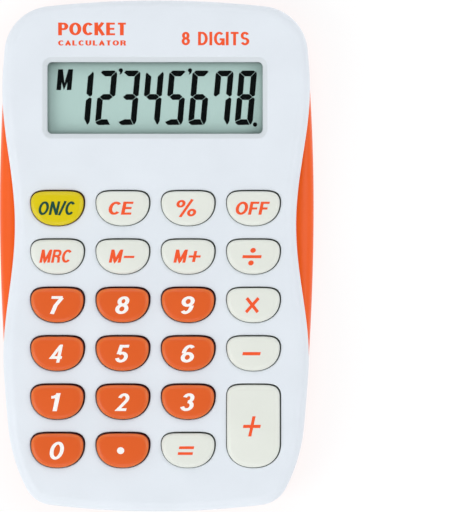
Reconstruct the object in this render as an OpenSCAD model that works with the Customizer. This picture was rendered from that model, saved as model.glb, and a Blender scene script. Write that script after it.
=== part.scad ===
// Pocket calculator: white front cover on an orange rear case, rubber-dome keypad, LCD and a button cell.
// It lies on its back: +Z points out of the keys, +Y points at the display end, +X is to the user's right.
// The origin is the middle of the flat back. All lengths are in millimetres.

/* [Body] */
// Length of the body, from the display end to the bottom end
body_l = 98.5; // [96:0.5:100]
// Width at the widest point
body_w = 61; // [60.5:0.5:62]
// Height of the front face above the back
body_h = 10.5; // [10.5:0.1:11]
// Height of the plane where the front cover meets the rear case
parting_z = 6; // [5.8:0.1:6]
// Distance of the widest point from the middle, towards the display end
widest_y = 10; // [9:0.5:11]
// Wall thickness of both shells
wall = 1.6; // [1.4:0.1:1.6]
// How far the front cover draws in at the waist, on each side
waist_depth = 3.5; // [3:0.1:3.5]

/* [Window] */
// Width of the display aperture
window_w = 41.3; // [40:0.1:41.5]
// Height of the display aperture
window_h = 13.8; // [13:0.1:14]
// Distance of the aperture's middle from the body's middle
window_y = 30.4; // [30:0.1:30.6]
// Width of the bevel round the aperture
bevel = 1.05; // [0.6:0.05:1.2]

/* [Keypad] */
// Distance between columns of keys
pitch_x = 12.54; // [12.5:0.02:12.6]
// Distance between rows of keys
pitch_y = 9.29; // [9.2:0.01:9.3]
// Height of the first row's middle above the body's middle
first_row_y = 9.29; // [9:0.01:9.4]
// Half the width of a key's aperture
key_half_w = 5.24; // [5:0.02:5.3]
// Height of the aperture's flatter upper part, above its widest line
key_rise = 2.34; // [2.2:0.02:2.4]
// Height of the aperture's rounder lower part, below its widest line
key_drop = 4.7; // [4.5:0.02:4.8]
// Gap between a key and its aperture, all round
key_gap = 0.2; // [0.15:0.01:0.25]
// How far a key goes down
key_travel = 0.9; // [0.7:0.05:0.9]
// Height of a key's crown above the front face
key_stand = 1.2; // [1:0.1:1.4]

/* [Cell] */
// Diameter of the button cell
cell_d = 11.6; // [11.4:0.1:11.6]
// Thickness of the button cell
cell_t = 3.05; // [2.9:0.05:3.05]
// Distance of the cell from the body's middle
cell_y = 33; // [32:0.5:34]
// Half the width of the battery door
door_half_w = 8.45; // [8.2:0.05:8.6]

/* [Hidden] */
LEGENDS = [
    ["on", "ce", "percent", "off"],
    ["memory_recall", "memory_minus", "memory_plus", "divide"],
    ["7", "8", "9", "multiply"],
    ["4", "5", "6", "minus"],
    ["1", "2", "3", "plus"],
    ["0", "point", "equals"],
];
$fn = 48;

WHITE = [0.89, 0.92, 0.95];
ORANGE = [0.95, 0.38, 0.14];
KEY_ORANGE = [0.87, 0.38, 0.18];
CREAM = [0.88, 0.91, 0.88];
YELLOW = [0.88, 0.82, 0.12];
STEEL = [0.72, 0.73, 0.75];

// Outline arcs of the body, as radii: display end, its corners, sides above and below the widest
// point, the long curve of the lower corners, the tight curve that ends it, and the bottom end.
top_r = 197;
top_corner_r = 9.3;
side_up_r = 346;
side_down_r = 464;
heel_r = 32;
heel_start = 5.3;
bottom_corner_r = 6;
bottom_r = 164;
waist_y = 6.2;
waist_half_l = 30;

// Edge roundings of the shells.
back_round = 2.5;
shoulder_h = 2.5;
face_round = 2.2;
seam = 0.08;
roof_z = body_h - wall;
floor_t = 1.4;

// Board and keypad heights.
board_z = 4.6;
board_t = 1;
board_top = board_z + board_t;
board_half_w = 24.9;
board_high_y = 41;
board_low_y = -41.9;
tab_half_w = 3;
tab_end_y = 45.2;
board_cut = 3;
mat_t = 0.6;
mat_half_w = 24.7;
mat_high_y = 14.2;
mat_low_y = -41.7;
dome_top = 7.7;
dome_r = 3.1;
dome_top_r = 2.2;
pill_t = 0.3;
pill_r = 1.5;
flange_grow = 0.6;
flange_z = 8;
flange_t = 0.8;
key_foot_z = dome_top + 0.05;
pill_z = board_top + key_travel;

// Display stack heights, from the board upwards.
reflector_z = 6.2;
film_t = 0.2;
glass_t = 0.6;
glass_w = 46;
glass_h = 19;
ledge = 2.2;
lens_t = 0.9;
tape_t = 0.1;
lens_margin = 1.9;
frame_w = 49;
frame_h = 21;
frame_top = 7.7;

// Screws: four close the case from the back, four hold the board to the front cover.
CASE_SCREWS = [[-20.5, 43.4], [20.5, 43.4], [-15, -44.2], [15, -44.2]];
BOARD_SCREWS = [[-12.5, 16.8], [12.5, 16.8], [0, 43.4], [0, -43.4]];
case_boss_r = 2.1;
case_boss_z = 2.5;
case_bore_r = 0.83;
case_shank_r = 0.8;
case_head_r = 1.6;
head_sink = 0.3;
board_boss_r = 1.6;
board_bore_r = 0.63;
board_shank_r = 0.6;
board_head_r = 1.3;
board_head_t = 0.6;

// Battery bay: a block with a round well, closed by a door that slides out at the display end.
door_y = 26.15;
door_t = 1.15;
door_lip_z = 3.2;
door_gap = 0.15;
rail_w = 0.5;
rail_z = 0.45;
rail_t = 0.4;
well_half_w = 10;
well_y0 = 24.6;
well_y1 = 41.6;
well_top = 4.3;
cell_z = door_t + 0.15;
cell_cap_t = 0.4;
cell_cap_r = 4.5;
contact_t = 0.18;
contact_w = 3;
contact_slot = 2.2;
grip_half_w = 5;
grip_w = 0.8;
grip_depth = 0.25;
GRIP_LINES = [42, 43.6, 45.2];

// Places of the small parts on the underside of the board.
chip_place = [0, 4];
CAPACITORS = [[-17, 20], [-14, 20]];
RESISTORS = [[14, -4], [14, -8], [14, -12]];

function arc(c, r, a0, a1, n) = [
    for (i = [0 : n - 1]) let (a = a0 + (a1 - a0) * i / n)
    c + r * [cos(a), sin(a)]
];

function heading(from, to) = atan2(to[1] - from[1], to[0] - from[0]);

// Centre of a circle of radius r that lies inside two larger circles and touches both.
function touching(c1, r1, c2, r2, r, side) =
    let (a = r1 - r, b = r2 - r, d = c2 - c1, l = norm(d), x = (a * a - b * b + l * l) / (2 * l))
    c1 + x * d / l + side * sqrt(a * a - x * x) * [d[1], -d[0]] / l;

top_c = [0, body_l / 2 - top_r];
side_up_c = [body_w / 2 - side_up_r, widest_y];
top_corner_c = touching(side_up_c, side_up_r, top_c, top_r, top_corner_r, -1);
side_down_c = [body_w / 2 - side_down_r, widest_y];
heel_c = side_down_c + (side_down_r - heel_r) * [cos(heel_start), -sin(heel_start)];
bottom_c = [0, bottom_r - body_l / 2];
bottom_corner_c = touching(heel_c, heel_r, bottom_c, bottom_r, bottom_corner_r, 1);

// How much of the waist shows at a place along the body: 1 at its middle, 0 beyond its ends.
function waist(y) = abs(y - waist_y) < waist_half_l ? pow(cos(90 * (y - waist_y) / waist_half_l), 2) : 0;

// Right half of the outline, drawn in by inset all round and by pinch more at the waist.
function half_outline(inset, pinch) =
    let (
        up = heading(side_up_c, top_corner_c),
        over = heading(top_c, top_corner_c),
        down = heading(heel_c, bottom_corner_c),
        under = heading(bottom_c, bottom_corner_c),
        points = concat(
            arc(top_c, top_r - inset, 90, over, 3),
            arc(top_corner_c, top_corner_r - inset, over, up, 6),
            arc(side_up_c, side_up_r - inset, up, 0, 8),
            arc(side_down_c, side_down_r - inset, 0, -heel_start, 11),
            arc(heel_c, heel_r - inset, -heel_start, down, 4),
            arc(bottom_corner_c, bottom_corner_r - inset, down, under, 5),
            arc(bottom_c, bottom_r - inset, under, -90, 3),
            [[0, inset - body_l / 2]]
        )
    )
    [for (p = points) [p[0] - pinch * waist_depth * waist(p[1]), p[1]]];

// The whole outline, clockwise from the middle of the display end.
function outline(inset, pinch) =
    let (right = half_outline(inset, pinch), n = len(right))
    concat(right, [for (i = [1 : n - 2]) [-right[n - 1 - i][0], right[n - 1 - i][1]]]);

function rounded_box(half_w, half_h, r) =
    concat(
        arc([half_w - r, half_h - r], r, 90, 0, 4),
        arc([half_w - r, r - half_h], r, 0, -90, 4),
        arc([r - half_w, r - half_h], r, -90, -180, 4),
        arc([r - half_w, half_h - r], r, 180, 90, 4)
    );

// A rectangle with its lower corners cut off, to clear the round lower corners of the shells.
function cut_corners(half_w, low, high) = [
    [-half_w, high], [half_w, high], [half_w, low + board_cut],
    [half_w - board_cut, low], [board_cut - half_w, low], [-half_w, low + board_cut],
];

function power(value, n) = sign(value) * pow(abs(value), n);

// Key outline, round its widest line: flatter above, an ellipse below, and split apart by stretch.
function key_outline(grow, stretch) =
    [for (i = [0 : 31]) let (
        a = 90 - i * 360 / 32,
        upper = sin(a) > 0,
        rise = (upper ? key_rise : key_drop) + grow,
        x = (key_half_w + grow) * power(cos(a), upper ? 0.57 : 1),
        y = rise * power(sin(a), upper ? 0.95 : 1)
    ) [x, y + (key_drop - key_rise) / 2 + (upper ? stretch : -stretch) / 2]];

// Solid through a stack of outlines that all have the same number of points, each with its height.
module loft(heights, rings) {
    n = len(rings[0]);
    last = len(rings) - 1;
    points = [for (k = [0 : last]) for (p = rings[k]) [p[0], p[1], heights[k]]];
    sides = [for (k = [0 : last - 1]) for (i = [0 : n - 1])
        let (j = (i + 1) % n) [k * n + i, k * n + j, (k + 1) * n + j, (k + 1) * n + i]];
    halves = [for (f = sides) for (h = [[f[0], f[1], f[2]], [f[0], f[2], f[3]]]) h];
    bottom = [for (i = [0 : n - 1]) n - 1 - i];
    top = [for (i = [0 : n - 1]) last * n + i];
    polyhedron(points, concat(halves, [bottom, top]), 4);
}

module slab(points, z0, z1) {
    translate([0, 0, z0]) linear_extrude(z1 - z0) polygon(points);
}

module block(x0, x1, y0, y1, z0, z1) {
    translate([x0, y0, z0]) cube([x1 - x0, y1 - y0, z1 - z0]);
}

module pegs(places, r, z0, z1) {
    for (p = places) translate([p[0], p[1], z0]) cylinder(r = r, h = z1 - z0);
}

// Middle of a key's aperture. The plus key is two rows high, so its middle lies between them.
function key_place(row, col) =
    [(col - 1.5) * pitch_x, first_row_y - row * pitch_y - (LEGENDS[row][col] == "plus" ? pitch_y / 2 : 0)];

function key_stretch(row, col) = LEGENDS[row][col] == "plus" ? pitch_y : 0;

KEYS = [for (row = [0 : len(LEGENDS) - 1]) for (col = [0 : len(LEGENDS[row]) - 1]) [row, col]];

module at_key(k) {
    p = key_place(k[0], k[1]);
    translate([p[0], p[1], 0]) children();
}

module front_cover() {
    turns = [0 : 22.5 : 90];
    color(WHITE) {
        difference() {
            loft(
                concat([parting_z], [for (a = turns) body_h - face_round * (1 - sin(a))]),
                concat([outline(seam, 1)], [for (a = turns) outline(seam + face_round * (1 - cos(a)), 1)])
            );
            slab(outline(wall + seam, 1), parting_z - 1, roof_z);
            for (k = KEYS) at_key(k) slab(key_outline(0, key_stretch(k[0], k[1])), roof_z - 1, body_h + 1);
            translate([0, window_y, 0]) {
                slab(rounded_box(window_w / 2, window_h / 2, 0.9), roof_z - 1, body_h + 1);
                loft([body_h - 0.6, body_h + 0.2], [
                    rounded_box(window_w / 2, window_h / 2, 0.9),
                    rounded_box(window_w / 2 + bevel * 4 / 3, window_h / 2 + bevel * 4 / 3, 1.9),
                ]);
            }
        }
        difference() {
            pegs(CASE_SCREWS, case_boss_r, case_boss_z, roof_z + 0.1);
            pegs(CASE_SCREWS, case_bore_r, case_boss_z - 1, roof_z - 1);
        }
        difference() {
            pegs(BOARD_SCREWS, board_boss_r, board_top, roof_z + 0.1);
            pegs(BOARD_SCREWS, board_bore_r, board_top - 1, roof_z - 0.8);
        }
    }
}

// Outside of the rear case: rounded up from the back, then a shoulder that draws in to the front cover.
module case_outside() {
    turns = [0 : 22.5 : 90];
    loft(
        concat(
            [for (a = turns) back_round * (1 - cos(a))],
            [for (a = turns) parting_z - shoulder_h * (1 - sin(a))]
        ),
        concat(
            [for (a = turns) outline(back_round * (1 - sin(a)), 0)],
            [for (a = turns) outline(0, 1 - cos(a))]
        )
    );
}

module case_inside(z0) {
    loft([z0, 2.6, parting_z - shoulder_h, parting_z + 1], [
        outline(wall + 1.4, 0), outline(wall, 0), outline(wall, 0), outline(wall, 1),
    ]);
}

module door_space(gap) {
    block(-door_half_w - gap, door_half_w + gap, door_y - gap, body_l, -1, door_lip_z + gap);
}

module rear_case() {
    color(ORANGE) difference() {
        union() {
            difference() {
                case_outside();
                case_inside(floor_t);
            }
            block(-well_half_w, well_half_w, well_y0, well_y1, floor_t - 0.1, well_top);
            pegs(CASE_SCREWS, case_boss_r, floor_t - 0.1, case_boss_z - 0.05);
        }
        difference() {
            door_space(door_gap);
            block(-well_half_w, well_half_w, door_y - 1, well_y1, cell_z, well_top + 1);
        }
        groove = door_half_w + rail_w + door_gap;
        block(-groove, groove, door_y - door_gap, body_l, rail_z - door_gap, rail_z + rail_t + door_gap);
        translate([0, cell_y, 0]) cylinder(d = cell_d + 0.3, h = body_h);
        block(
            cell_d / 2 - 1, cell_d / 2 + 1.4,
            cell_y - contact_slot, cell_y + contact_slot,
            floor_t, body_h
        );
        pegs(CASE_SCREWS, case_shank_r + 0.15, -1, body_h);
        pegs(CASE_SCREWS, case_head_r + 0.15, -1, floor_t - 0.1);
    }
}

module battery_door() {
    color(ORANGE) {
        difference() {
            intersection() {
                case_outside();
                door_space(0);
            }
            block(-body_w, body_w, 0, body_l / 2 - wall - 0.4, door_t, body_h);
            for (y = GRIP_LINES)
                block(-grip_half_w, grip_half_w, y - grip_w / 2, y + grip_w / 2, -1, grip_depth);
        }
        for (s = [-1, 1]) {
            block(
                s * door_half_w - rail_w, s * door_half_w + rail_w,
                door_y, body_l / 2 - 4,
                rail_z, rail_z + rail_t
            );
        }
    }
}

module display_lens() {
    color([0.9, 0.95, 0.95, 0.4]) translate([0, window_y, 0])
        slab(
            rounded_box(window_w / 2 + lens_margin, window_h / 2 + lens_margin, 1),
            roof_z - tape_t - lens_t, roof_z - tape_t
        );
}

module lens_adhesive() {
    color([0.2, 0.2, 0.2]) translate([0, window_y, 0]) difference() {
        slab(rounded_box(window_w / 2 + lens_margin, window_h / 2 + lens_margin, 1), roof_z - tape_t, roof_z);
        slab(rounded_box(window_w / 2 + 0.3, window_h / 2 + 0.3, 1), roof_z - 1, roof_z + 1);
    }
}

// A plate of the display stack. The front glass reaches lower than the rest, to carry its contacts.
module plate(low, high, z0, t) {
    block(-glass_w / 2, glass_w / 2, window_y + low, window_y + high, z0, z0 + t);
}

module lcd_reflector() {
    color([0.75, 0.8, 0.78]) plate(ledge - glass_h / 2, glass_h / 2, reflector_z, film_t);
}

module lcd_rear_glass() {
    color([0.7, 0.8, 0.78]) plate(ledge - glass_h / 2, glass_h / 2, reflector_z + film_t, glass_t);
}

module lcd_front_glass() {
    color([0.7, 0.8, 0.78]) plate(-glass_h / 2, glass_h / 2, reflector_z + film_t + glass_t, glass_t);
}

module lcd_front_polariser() {
    color([0.6, 0.7, 0.68])
        plate(ledge - glass_h / 2, glass_h / 2, reflector_z + film_t + 2 * glass_t, film_t);
}

module lcd_frame() {
    color([0.2, 0.2, 0.21]) translate([0, window_y, 0]) difference() {
        slab(rounded_box(frame_w / 2, frame_h / 2, 0.8), board_top, frame_top);
        block(
            -glass_w / 2 - 0.1, glass_w / 2 + 0.1,
            -glass_h / 2 - 0.1, glass_h / 2 + 0.1,
            reflector_z, body_h
        );
        block(
            -glass_w / 2 + 1.5, glass_w / 2 - 1.5,
            -glass_h / 2 + 0.1, glass_h / 2 - 1.5,
            board_top - 1, body_h
        );
    }
}

module zebra_strip() {
    color([0.85, 0.5, 0.55]) block(
        1.6 - glass_w / 2, glass_w / 2 - 1.6,
        window_y - glass_h / 2 + 0.2, window_y - glass_h / 2 + ledge - 0.2,
        board_top, reflector_z + film_t + glass_t
    );
}

module circuit_board() {
    color([0.55, 0.42, 0.2]) difference() {
        union() {
            slab(cut_corners(board_half_w, board_low_y, board_high_y), board_z, board_top);
            block(-tab_half_w, tab_half_w, -tab_end_y, tab_end_y, board_z, board_top);
        }
        pegs(BOARD_SCREWS, board_shank_r + 0.15, 0, body_h);
    }
}

module chip_blob() {
    color([0.08, 0.08, 0.09]) translate([chip_place[0], chip_place[1], board_z]) intersection() {
        translate([0, 0, 5]) sphere(r = 6.2);
        translate([0, 0, -2]) cylinder(r = 6, h = 2);
    }
}

module board_capacitors() {
    color([0.7, 0.6, 0.45])
        for (p = CAPACITORS) block(p[0], p[0] + 1.2, p[1], p[1] + 2, board_z - 0.8, board_z);
}

module board_resistors() {
    color([0.1, 0.1, 0.12])
        for (p = RESISTORS) block(p[0], p[0] + 2, p[1], p[1] + 1.2, board_z - 0.5, board_z);
}

module keypad_mat() {
    color([0.75, 0.76, 0.77]) difference() {
        union() {
            slab(cut_corners(mat_half_w, mat_low_y, mat_high_y), board_top, board_top + mat_t);
            for (k = KEYS) at_key(k)
                translate([0, 0, board_top]) cylinder(r1 = dome_r, r2 = dome_top_r, h = dome_top - board_top);
        }
        for (k = KEYS) at_key(k)
            translate([0, 0, board_top - 1])
                cylinder(r1 = dome_r, r2 = pill_r, h = pill_z + pill_t - board_top + 1);
    }
}

module carbon_pills() {
    color([0.1, 0.1, 0.1]) for (k = KEYS) at_key(k)
        translate([0, 0, pill_z]) cylinder(r = pill_r - 0.1, h = pill_t);
}

module battery_cell() {
    color(STEEL) translate([0, cell_y, cell_z]) {
        cylinder(d = cell_d, h = cell_t - cell_cap_t);
        cylinder(r = cell_cap_r, h = cell_t);
    }
}

module battery_contact_minus() {
    color([0.8, 0.72, 0.5]) {
        block(-contact_w / 2, contact_w / 2, cell_y - contact_w, cell_y + contact_w, board_z - contact_t, board_z);
        translate([0, cell_y, cell_z + cell_t]) cylinder(r = 1.2, h = board_z - cell_z - cell_t);
    }
}

module battery_contact_plus() {
    color([0.8, 0.72, 0.5]) {
        x = cell_d / 2 + 0.02;
        low = cell_y - contact_w / 2;
        high = cell_y + contact_w / 2;
        block(x, x + contact_t, low, high, floor_t + 0.6, board_z);
        block(x, x + contact_slot / 2, low, high, board_z - contact_t, board_z);
    }
}

module case_screws() {
    color(STEEL) for (p = CASE_SCREWS) translate([p[0], p[1], 0]) difference() {
        union() {
            translate([0, 0, head_sink]) cylinder(r = case_head_r, h = floor_t - 0.12 - head_sink);
            translate([0, 0, head_sink]) cylinder(r = case_shank_r, h = 6);
        }
        for (a = [0, 90]) rotate(a) block(-1, 1, -0.2, 0.2, -1, head_sink + 0.5);
    }
}

module board_screws() {
    color(STEEL) for (p = BOARD_SCREWS) translate([p[0], p[1], 0]) difference() {
        union() {
            translate([0, 0, board_z - board_head_t]) cylinder(r = board_head_r, h = board_head_t);
            translate([0, 0, board_z - board_head_t]) cylinder(r = board_shank_r, h = 3.4);
        }
        for (a = [0, 90]) rotate(a) block(-0.8, 0.8, -0.17, 0.17, 0, board_z - board_head_t + 0.35);
    }
}

function key_colour(row, col) =
    let (name = LEGENDS[row][col])
    name == "on" ? YELLOW : (row > 1 && col < 3 && name != "equals") ? KEY_ORANGE : CREAM;

// A key: a crowned cap through the aperture, a flange that stops under the cover, and a foot on its dome.
module key(row, col) {
    stretch = key_stretch(row, col);
    crown = body_h + key_stand;
    color(key_colour(row, col)) at_key([row, col]) {
        slab(key_outline(flange_grow, stretch), flange_z, flange_z + flange_t);
        translate([0, 0, key_foot_z]) cylinder(r = dome_top_r - 0.2, h = flange_z - key_foot_z + 0.1);
        intersection() {
            slab(key_outline(-key_gap, stretch), flange_z + 0.1, crown + 1);
            translate([0, 50, crown - 40]) rotate([90, 0, 0]) cylinder(r = 40, h = 100, $fn = 96);
            translate([-50, 0, crown - 24 - 3 * stretch]) rotate([0, 90, 0])
                cylinder(r = 24 + 3 * stretch, h = 100, $fn = 96);
        }
    }
}

front_cover();
rear_case();
battery_door();
display_lens();
lens_adhesive();
lcd_frame();
lcd_front_polariser();
lcd_front_glass();
lcd_rear_glass();
lcd_reflector();
zebra_strip();
circuit_board();
chip_blob();
board_capacitors();
board_resistors();
keypad_mat();
carbon_pills();
battery_cell();
battery_contact_plus();
battery_contact_minus();
case_screws();
board_screws();
for (k = KEYS) key(k[0], k[1]);
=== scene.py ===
import math
import bpy
import numpy as np
from bpy.props import FloatProperty, FloatVectorProperty, PointerProperty
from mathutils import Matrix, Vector
from mathutils.geometry import delaunay_2d_cdt


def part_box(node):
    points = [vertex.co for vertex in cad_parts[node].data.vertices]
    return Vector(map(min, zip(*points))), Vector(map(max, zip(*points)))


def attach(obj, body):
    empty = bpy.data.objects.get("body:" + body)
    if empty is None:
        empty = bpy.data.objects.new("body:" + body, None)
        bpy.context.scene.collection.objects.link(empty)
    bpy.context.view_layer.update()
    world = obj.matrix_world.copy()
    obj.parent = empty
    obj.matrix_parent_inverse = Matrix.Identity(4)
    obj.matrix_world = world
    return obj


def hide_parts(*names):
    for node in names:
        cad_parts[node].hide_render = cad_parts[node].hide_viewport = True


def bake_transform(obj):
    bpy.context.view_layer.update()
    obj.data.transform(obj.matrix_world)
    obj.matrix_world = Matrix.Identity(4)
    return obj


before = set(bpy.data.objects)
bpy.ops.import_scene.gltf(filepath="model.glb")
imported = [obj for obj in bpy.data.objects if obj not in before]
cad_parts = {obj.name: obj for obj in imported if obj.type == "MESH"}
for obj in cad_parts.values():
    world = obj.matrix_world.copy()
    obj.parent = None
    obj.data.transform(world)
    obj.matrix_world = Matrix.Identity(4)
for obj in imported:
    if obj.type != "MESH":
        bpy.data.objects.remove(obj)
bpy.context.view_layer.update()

bl_info = {
    "name": "Pocket calculator",
    "version": (1, 0, 0),
    "blender": (4, 5, 0),
    "location": "View3D > Sidebar > Calculator",
    "description": "Builds a pocket calculator's shells, keys, display, printing and stage",
    "category": "Object",
}

MM = 0.001

# Rows of keys from the display down: node name, legend, cap height, legend width and shift to the right (mm).
KEY_ROWS = (
    (("on", "ON/C", 2.6, 6.95, -0.15), ("ce", "CE", 2.5, 4.8, -0.35),
     ("percent", "%", 3.25, 3.8, -0.4), ("off", "OFF", 2.5, 6.55, -0.2)),
    (("memory_recall", "MRC", 2.5, 6.2, -0.4), ("memory_minus", "M-", 2.5, 4.95, -0.25),
     ("memory_plus", "M+", 2.5, 5.25, -0.25), ("divide", ":", 3.3, 3.7, -0.35)),
    (("7", "7", 3.45, 2.75, -0.12), ("8", "8", 3.45, 2.75, -0.12),
     ("9", "9", 3.45, 2.75, -0.12), ("multiply", "x", 2.7, 2.8, -0.3)),
    (("4", "4", 3.45, 2.75, -0.3), ("5", "5", 3.45, 2.75, -0.12),
     ("6", "6", 3.45, 2.75, -0.12), ("minus", "-", 3.3, 3.55, -0.44)),
    (("1", "1", 3.45, 1.8, -0.3), ("2", "2", 3.45, 2.85, -0.2),
     ("3", "3", 3.45, 2.75, -0.2), ("plus", "+", 4.6, 3.45, -0.37)),
    (("0", "0", 3.45, 2.75, -0.12), ("point", ".", 3.3, 1.4, -0.44), ("equals", "=", 3.3, 3.2, -0.47)),
)
KEYS = [key for row in KEY_ROWS for key in row]
DIGITS = "0123456789"

# Letter strokes on a box one cap height tall: (width, strokes). A stroke is a run of points (x, y)
# and elliptical arcs (centre x, centre y, half width, half height, start, end) in degrees, or it is
# one dot (centre x, centre y, radius).
NINE = ((0.29, 0.70, 0.19, 0.215, -90, 270), (0.27, 0.48, 0.21, 0.40, 0, -130))
STROKES = {
    "0": (0.62, (((0.31, 0.5, 0.23, 0.42, 90, 450),),)),
    "1": (0.42, (((0.31, 0.0), (0.31, 1.0)), ((0.06, 0.765), (0.18, 0.785), (0.31, 0.90)))),
    "2": (0.58, (((0.29, 0.70, 0.19, 0.22, 170, -35), (0.12, 0.09), (0.54, 0.09)),)),
    "3": (0.58, (((0.28, 0.715, 0.165, 0.20, 165, -90),), ((0.28, 0.30, 0.20, 0.22, 90, -165),))),
    "4": (0.62, (((0.40, 0.93), (0.05, 0.285), (0.61, 0.285)), ((0.44, 0.0), (0.44, 1.0)))),
    "5": (0.58, (((0.53, 0.915), (0.18, 0.915), (0.13, 0.47)), ((0.29, 0.31, 0.195, 0.225, 135, -165),))),
    "6": (0.58, (((0.29, 0.30, 0.19, 0.215, 90, 450),), ((0.31, 0.52, 0.21, 0.40, 50, 180),))),
    "7": (0.58, (((0.06, 0.915), (0.52, 0.915)), ((0.50, 0.90), (0.30, 0.48), (0.22, 0.0)))),
    "8": (0.58, (((0.29, 0.72, 0.165, 0.195, 90, 450),), ((0.29, 0.295, 0.195, 0.21, 90, 450),))),
    "9": (0.58, ((NINE[0],), (NINE[1],))),
    "A": (0.68, (((0.07, 0.0), (0.34, 0.95), (0.61, 0.0)), ((0.16, 0.3), (0.52, 0.3)))),
    "C": (0.66, (((0.36, 0.5, 0.27, 0.42, 42, 318),),)),
    "D": (0.68, (((0.1, 0.915), (0.28, 0.5, 0.30, 0.415, 90, -90), (0.1, 0.085)), ((0.1, 0.0), (0.1, 1.0)))),
    "E": (0.60, (((0.58, 0.915), (0.1, 0.915)), ((0.1, 1.0), (0.1, 0.0)), ((0.1, 0.085), (0.59, 0.085)),
                 ((0.1, 0.51), (0.54, 0.51)))),
    "F": (0.57, (((0.57, 0.915), (0.1, 0.915)), ((0.1, 1.0), (0.1, 0.0)), ((0.1, 0.48), (0.51, 0.48)))),
    "G": (0.72, (((0.38, 0.5, 0.28, 0.42, 45, 340),), ((0.40, 0.44), (0.66, 0.44), (0.66, 0.0)))),
    "I": (0.20, (((0.1, 0.0), (0.1, 1.0)),)),
    "K": (0.66, (((0.1, 0.0), (0.1, 1.0)), ((0.56, 1.0), (0.14, 0.42)), ((0.26, 0.58), (0.60, 0.0)))),
    "L": (0.56, (((0.1, 1.0), (0.1, 0.085), (0.56, 0.085)),)),
    "M": (0.80, (((0.1, 0.0), (0.1, 1.0)), ((0.13, 0.93), (0.4, 0.08), (0.67, 0.93)),
                 ((0.7, 1.0), (0.7, 0.0)))),
    "N": (0.70, (((0.1, 0.0), (0.1, 1.0)), ((0.12, 0.93), (0.58, 0.07)), ((0.6, 1.0), (0.6, 0.0)))),
    "O": (0.76, (((0.38, 0.5, 0.29, 0.42, 90, 450),),)),
    "P": (0.62, (((0.1, 0.915), (0.36, 0.70, 0.18, 0.215, 90, -90), (0.1, 0.485)), ((0.1, 0.0), (0.1, 1.0)))),
    "R": (0.66, (((0.1, 0.915), (0.38, 0.71, 0.18, 0.205, 90, -90), (0.1, 0.505)), ((0.1, 0.0), (0.1, 1.0)),
                 ((0.36, 0.50), (0.52, 0.38), (0.56, 0.0)))),
    "S": (0.62, (((0.31, 0.71, 0.20, 0.21, 20, 270), (0.31, 0.29, 0.21, 0.21, 90, -160)),)),
    "T": (0.60, (((0.02, 0.915), (0.58, 0.915)), ((0.3, 0.9), (0.3, 0.0)))),
    "U": (0.70, (((0.1, 1.0), (0.35, 0.35, 0.25, 0.265, 180, 360), (0.6, 1.0)),)),
    "/": (0.32, (((0.02, -0.02), (0.30, 1.02)),)),
    "%": (0.92, (((0.20, 0.76, 0.125, 0.165, 90, 450),), ((0.72, 0.24, 0.125, 0.165, 90, 450),),
                 ((0.28, -0.02), (0.64, 1.02)))),
    "+": (0.86, (((0.04, 0.47), (0.84, 0.47)), ((0.44, 0.05), (0.44, 0.89)))),
    "-": (0.76, (((0.04, 0.44), (0.74, 0.44)),)),
    "x": (1.00, (((0.0, 0.0), (1.0, 1.0)), ((0.0, 1.0), (1.0, 0.0)))),
    "=": (1.00, (((0.0, 0.67), (1.0, 0.67)), ((0.0, 0.33), (1.0, 0.33)))),
    ":": (1.00, (((0.0, 0.5), (1.0, 0.5)), ((0.51, 0.865, 0.145),), ((0.49, 0.135, 0.145),))),
    ".": (0.40, (((0.2, 0.2, 0.2),),)),
    " ": (0.34, ()),
}

# Sizes that several pieces share: a flat band that keeps the shading beside a rounding even, the bevel
# along the seam of the shells, the rear case's floor and where and how far its wall slopes down to it,
# how far a boss sinks into the cover's roof, and where cutting tools end: under the back, over the
# battery well and past the body.
HOLD = 0.12 * MM
SEAM = 0.12 * MM
FLOOR = 1.4 * MM
INNER_TURN = 2.6 * MM
INNER_SLOPE = 1.4 * MM
SINK = 0.1 * MM
BELOW = -MM
ABOVE = 6 * MM
BEYOND = 60 * MM

# Battery door: half width, far end, height of its lip and how far that starts inside the wall,
# thickness, the gap round it, its rails and how far they end short of the body's, the grooves that they
# slide in, and its finger grips as places, half width, half length and depth.
DOOR_HALF_W = 8.45 * MM
DOOR_Y = 26.15 * MM
DOOR_LIP = 3.2 * MM
DOOR_LIP_SHORT = 0.4 * MM
DOOR_T = 1.15 * MM
DOOR_GAP = 0.15 * MM
RAIL_HALF_W = 0.5 * MM
RAIL_Z = (0.45 * MM, 0.85 * MM)
RAIL_SHORT = 4 * MM
GROOVE_HALF_W = DOOR_HALF_W + 0.65 * MM
GROOVE_Z = (0.3 * MM, 1.0 * MM)
GRIPS_Y = (42 * MM, 43.6 * MM, 45.2 * MM)
GRIP_HALF_W, GRIP_HALF_L, GRIP_DEPTH = 5 * MM, 0.4 * MM, 0.25 * MM

# The block that holds the cell, its round well, and the slot for a contact as its sides and half length.
WELL_BLOCK = np.array([-10, 10, 24.6, 41.6, 1.3, 4.3]) * MM
WELL_R = 5.95 * MM
WELL_SLOT = (4.8 * MM, 7.2 * MM)
WELL_SLOT_HALF_L = 2.2 * MM

# Places of the screws that close the case and of those that hold the board.
CASE_SCREWS = np.array([(-20.5, 43.4), (20.5, 43.4), (-15, -44.2), (15, -44.2)]) * MM
BOARD_SCREWS = np.array([(-12.5, 16.8), (12.5, 16.8), (0, 43.4), (0, -43.4)]) * MM

# Bosses: places, outer radius, bore and foot in the cover, and outer radius, bore, foot and top in the
# rear case. Holes for the case screws, as radius and top.
COVER_BOSSES = ((CASE_SCREWS, 2.1 * MM, 0.83 * MM, 2.5 * MM), (BOARD_SCREWS, 1.6 * MM, 0.63 * MM, 5.6 * MM))
CASE_BOSS = (2.1 * MM, 0.95 * MM, FLOOR - 0.05 * MM, 2.45 * MM)
SCREW_HOLES = ((0.95 * MM, 2 * MM), (1.75 * MM, FLOOR - 0.1 * MM))

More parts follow.
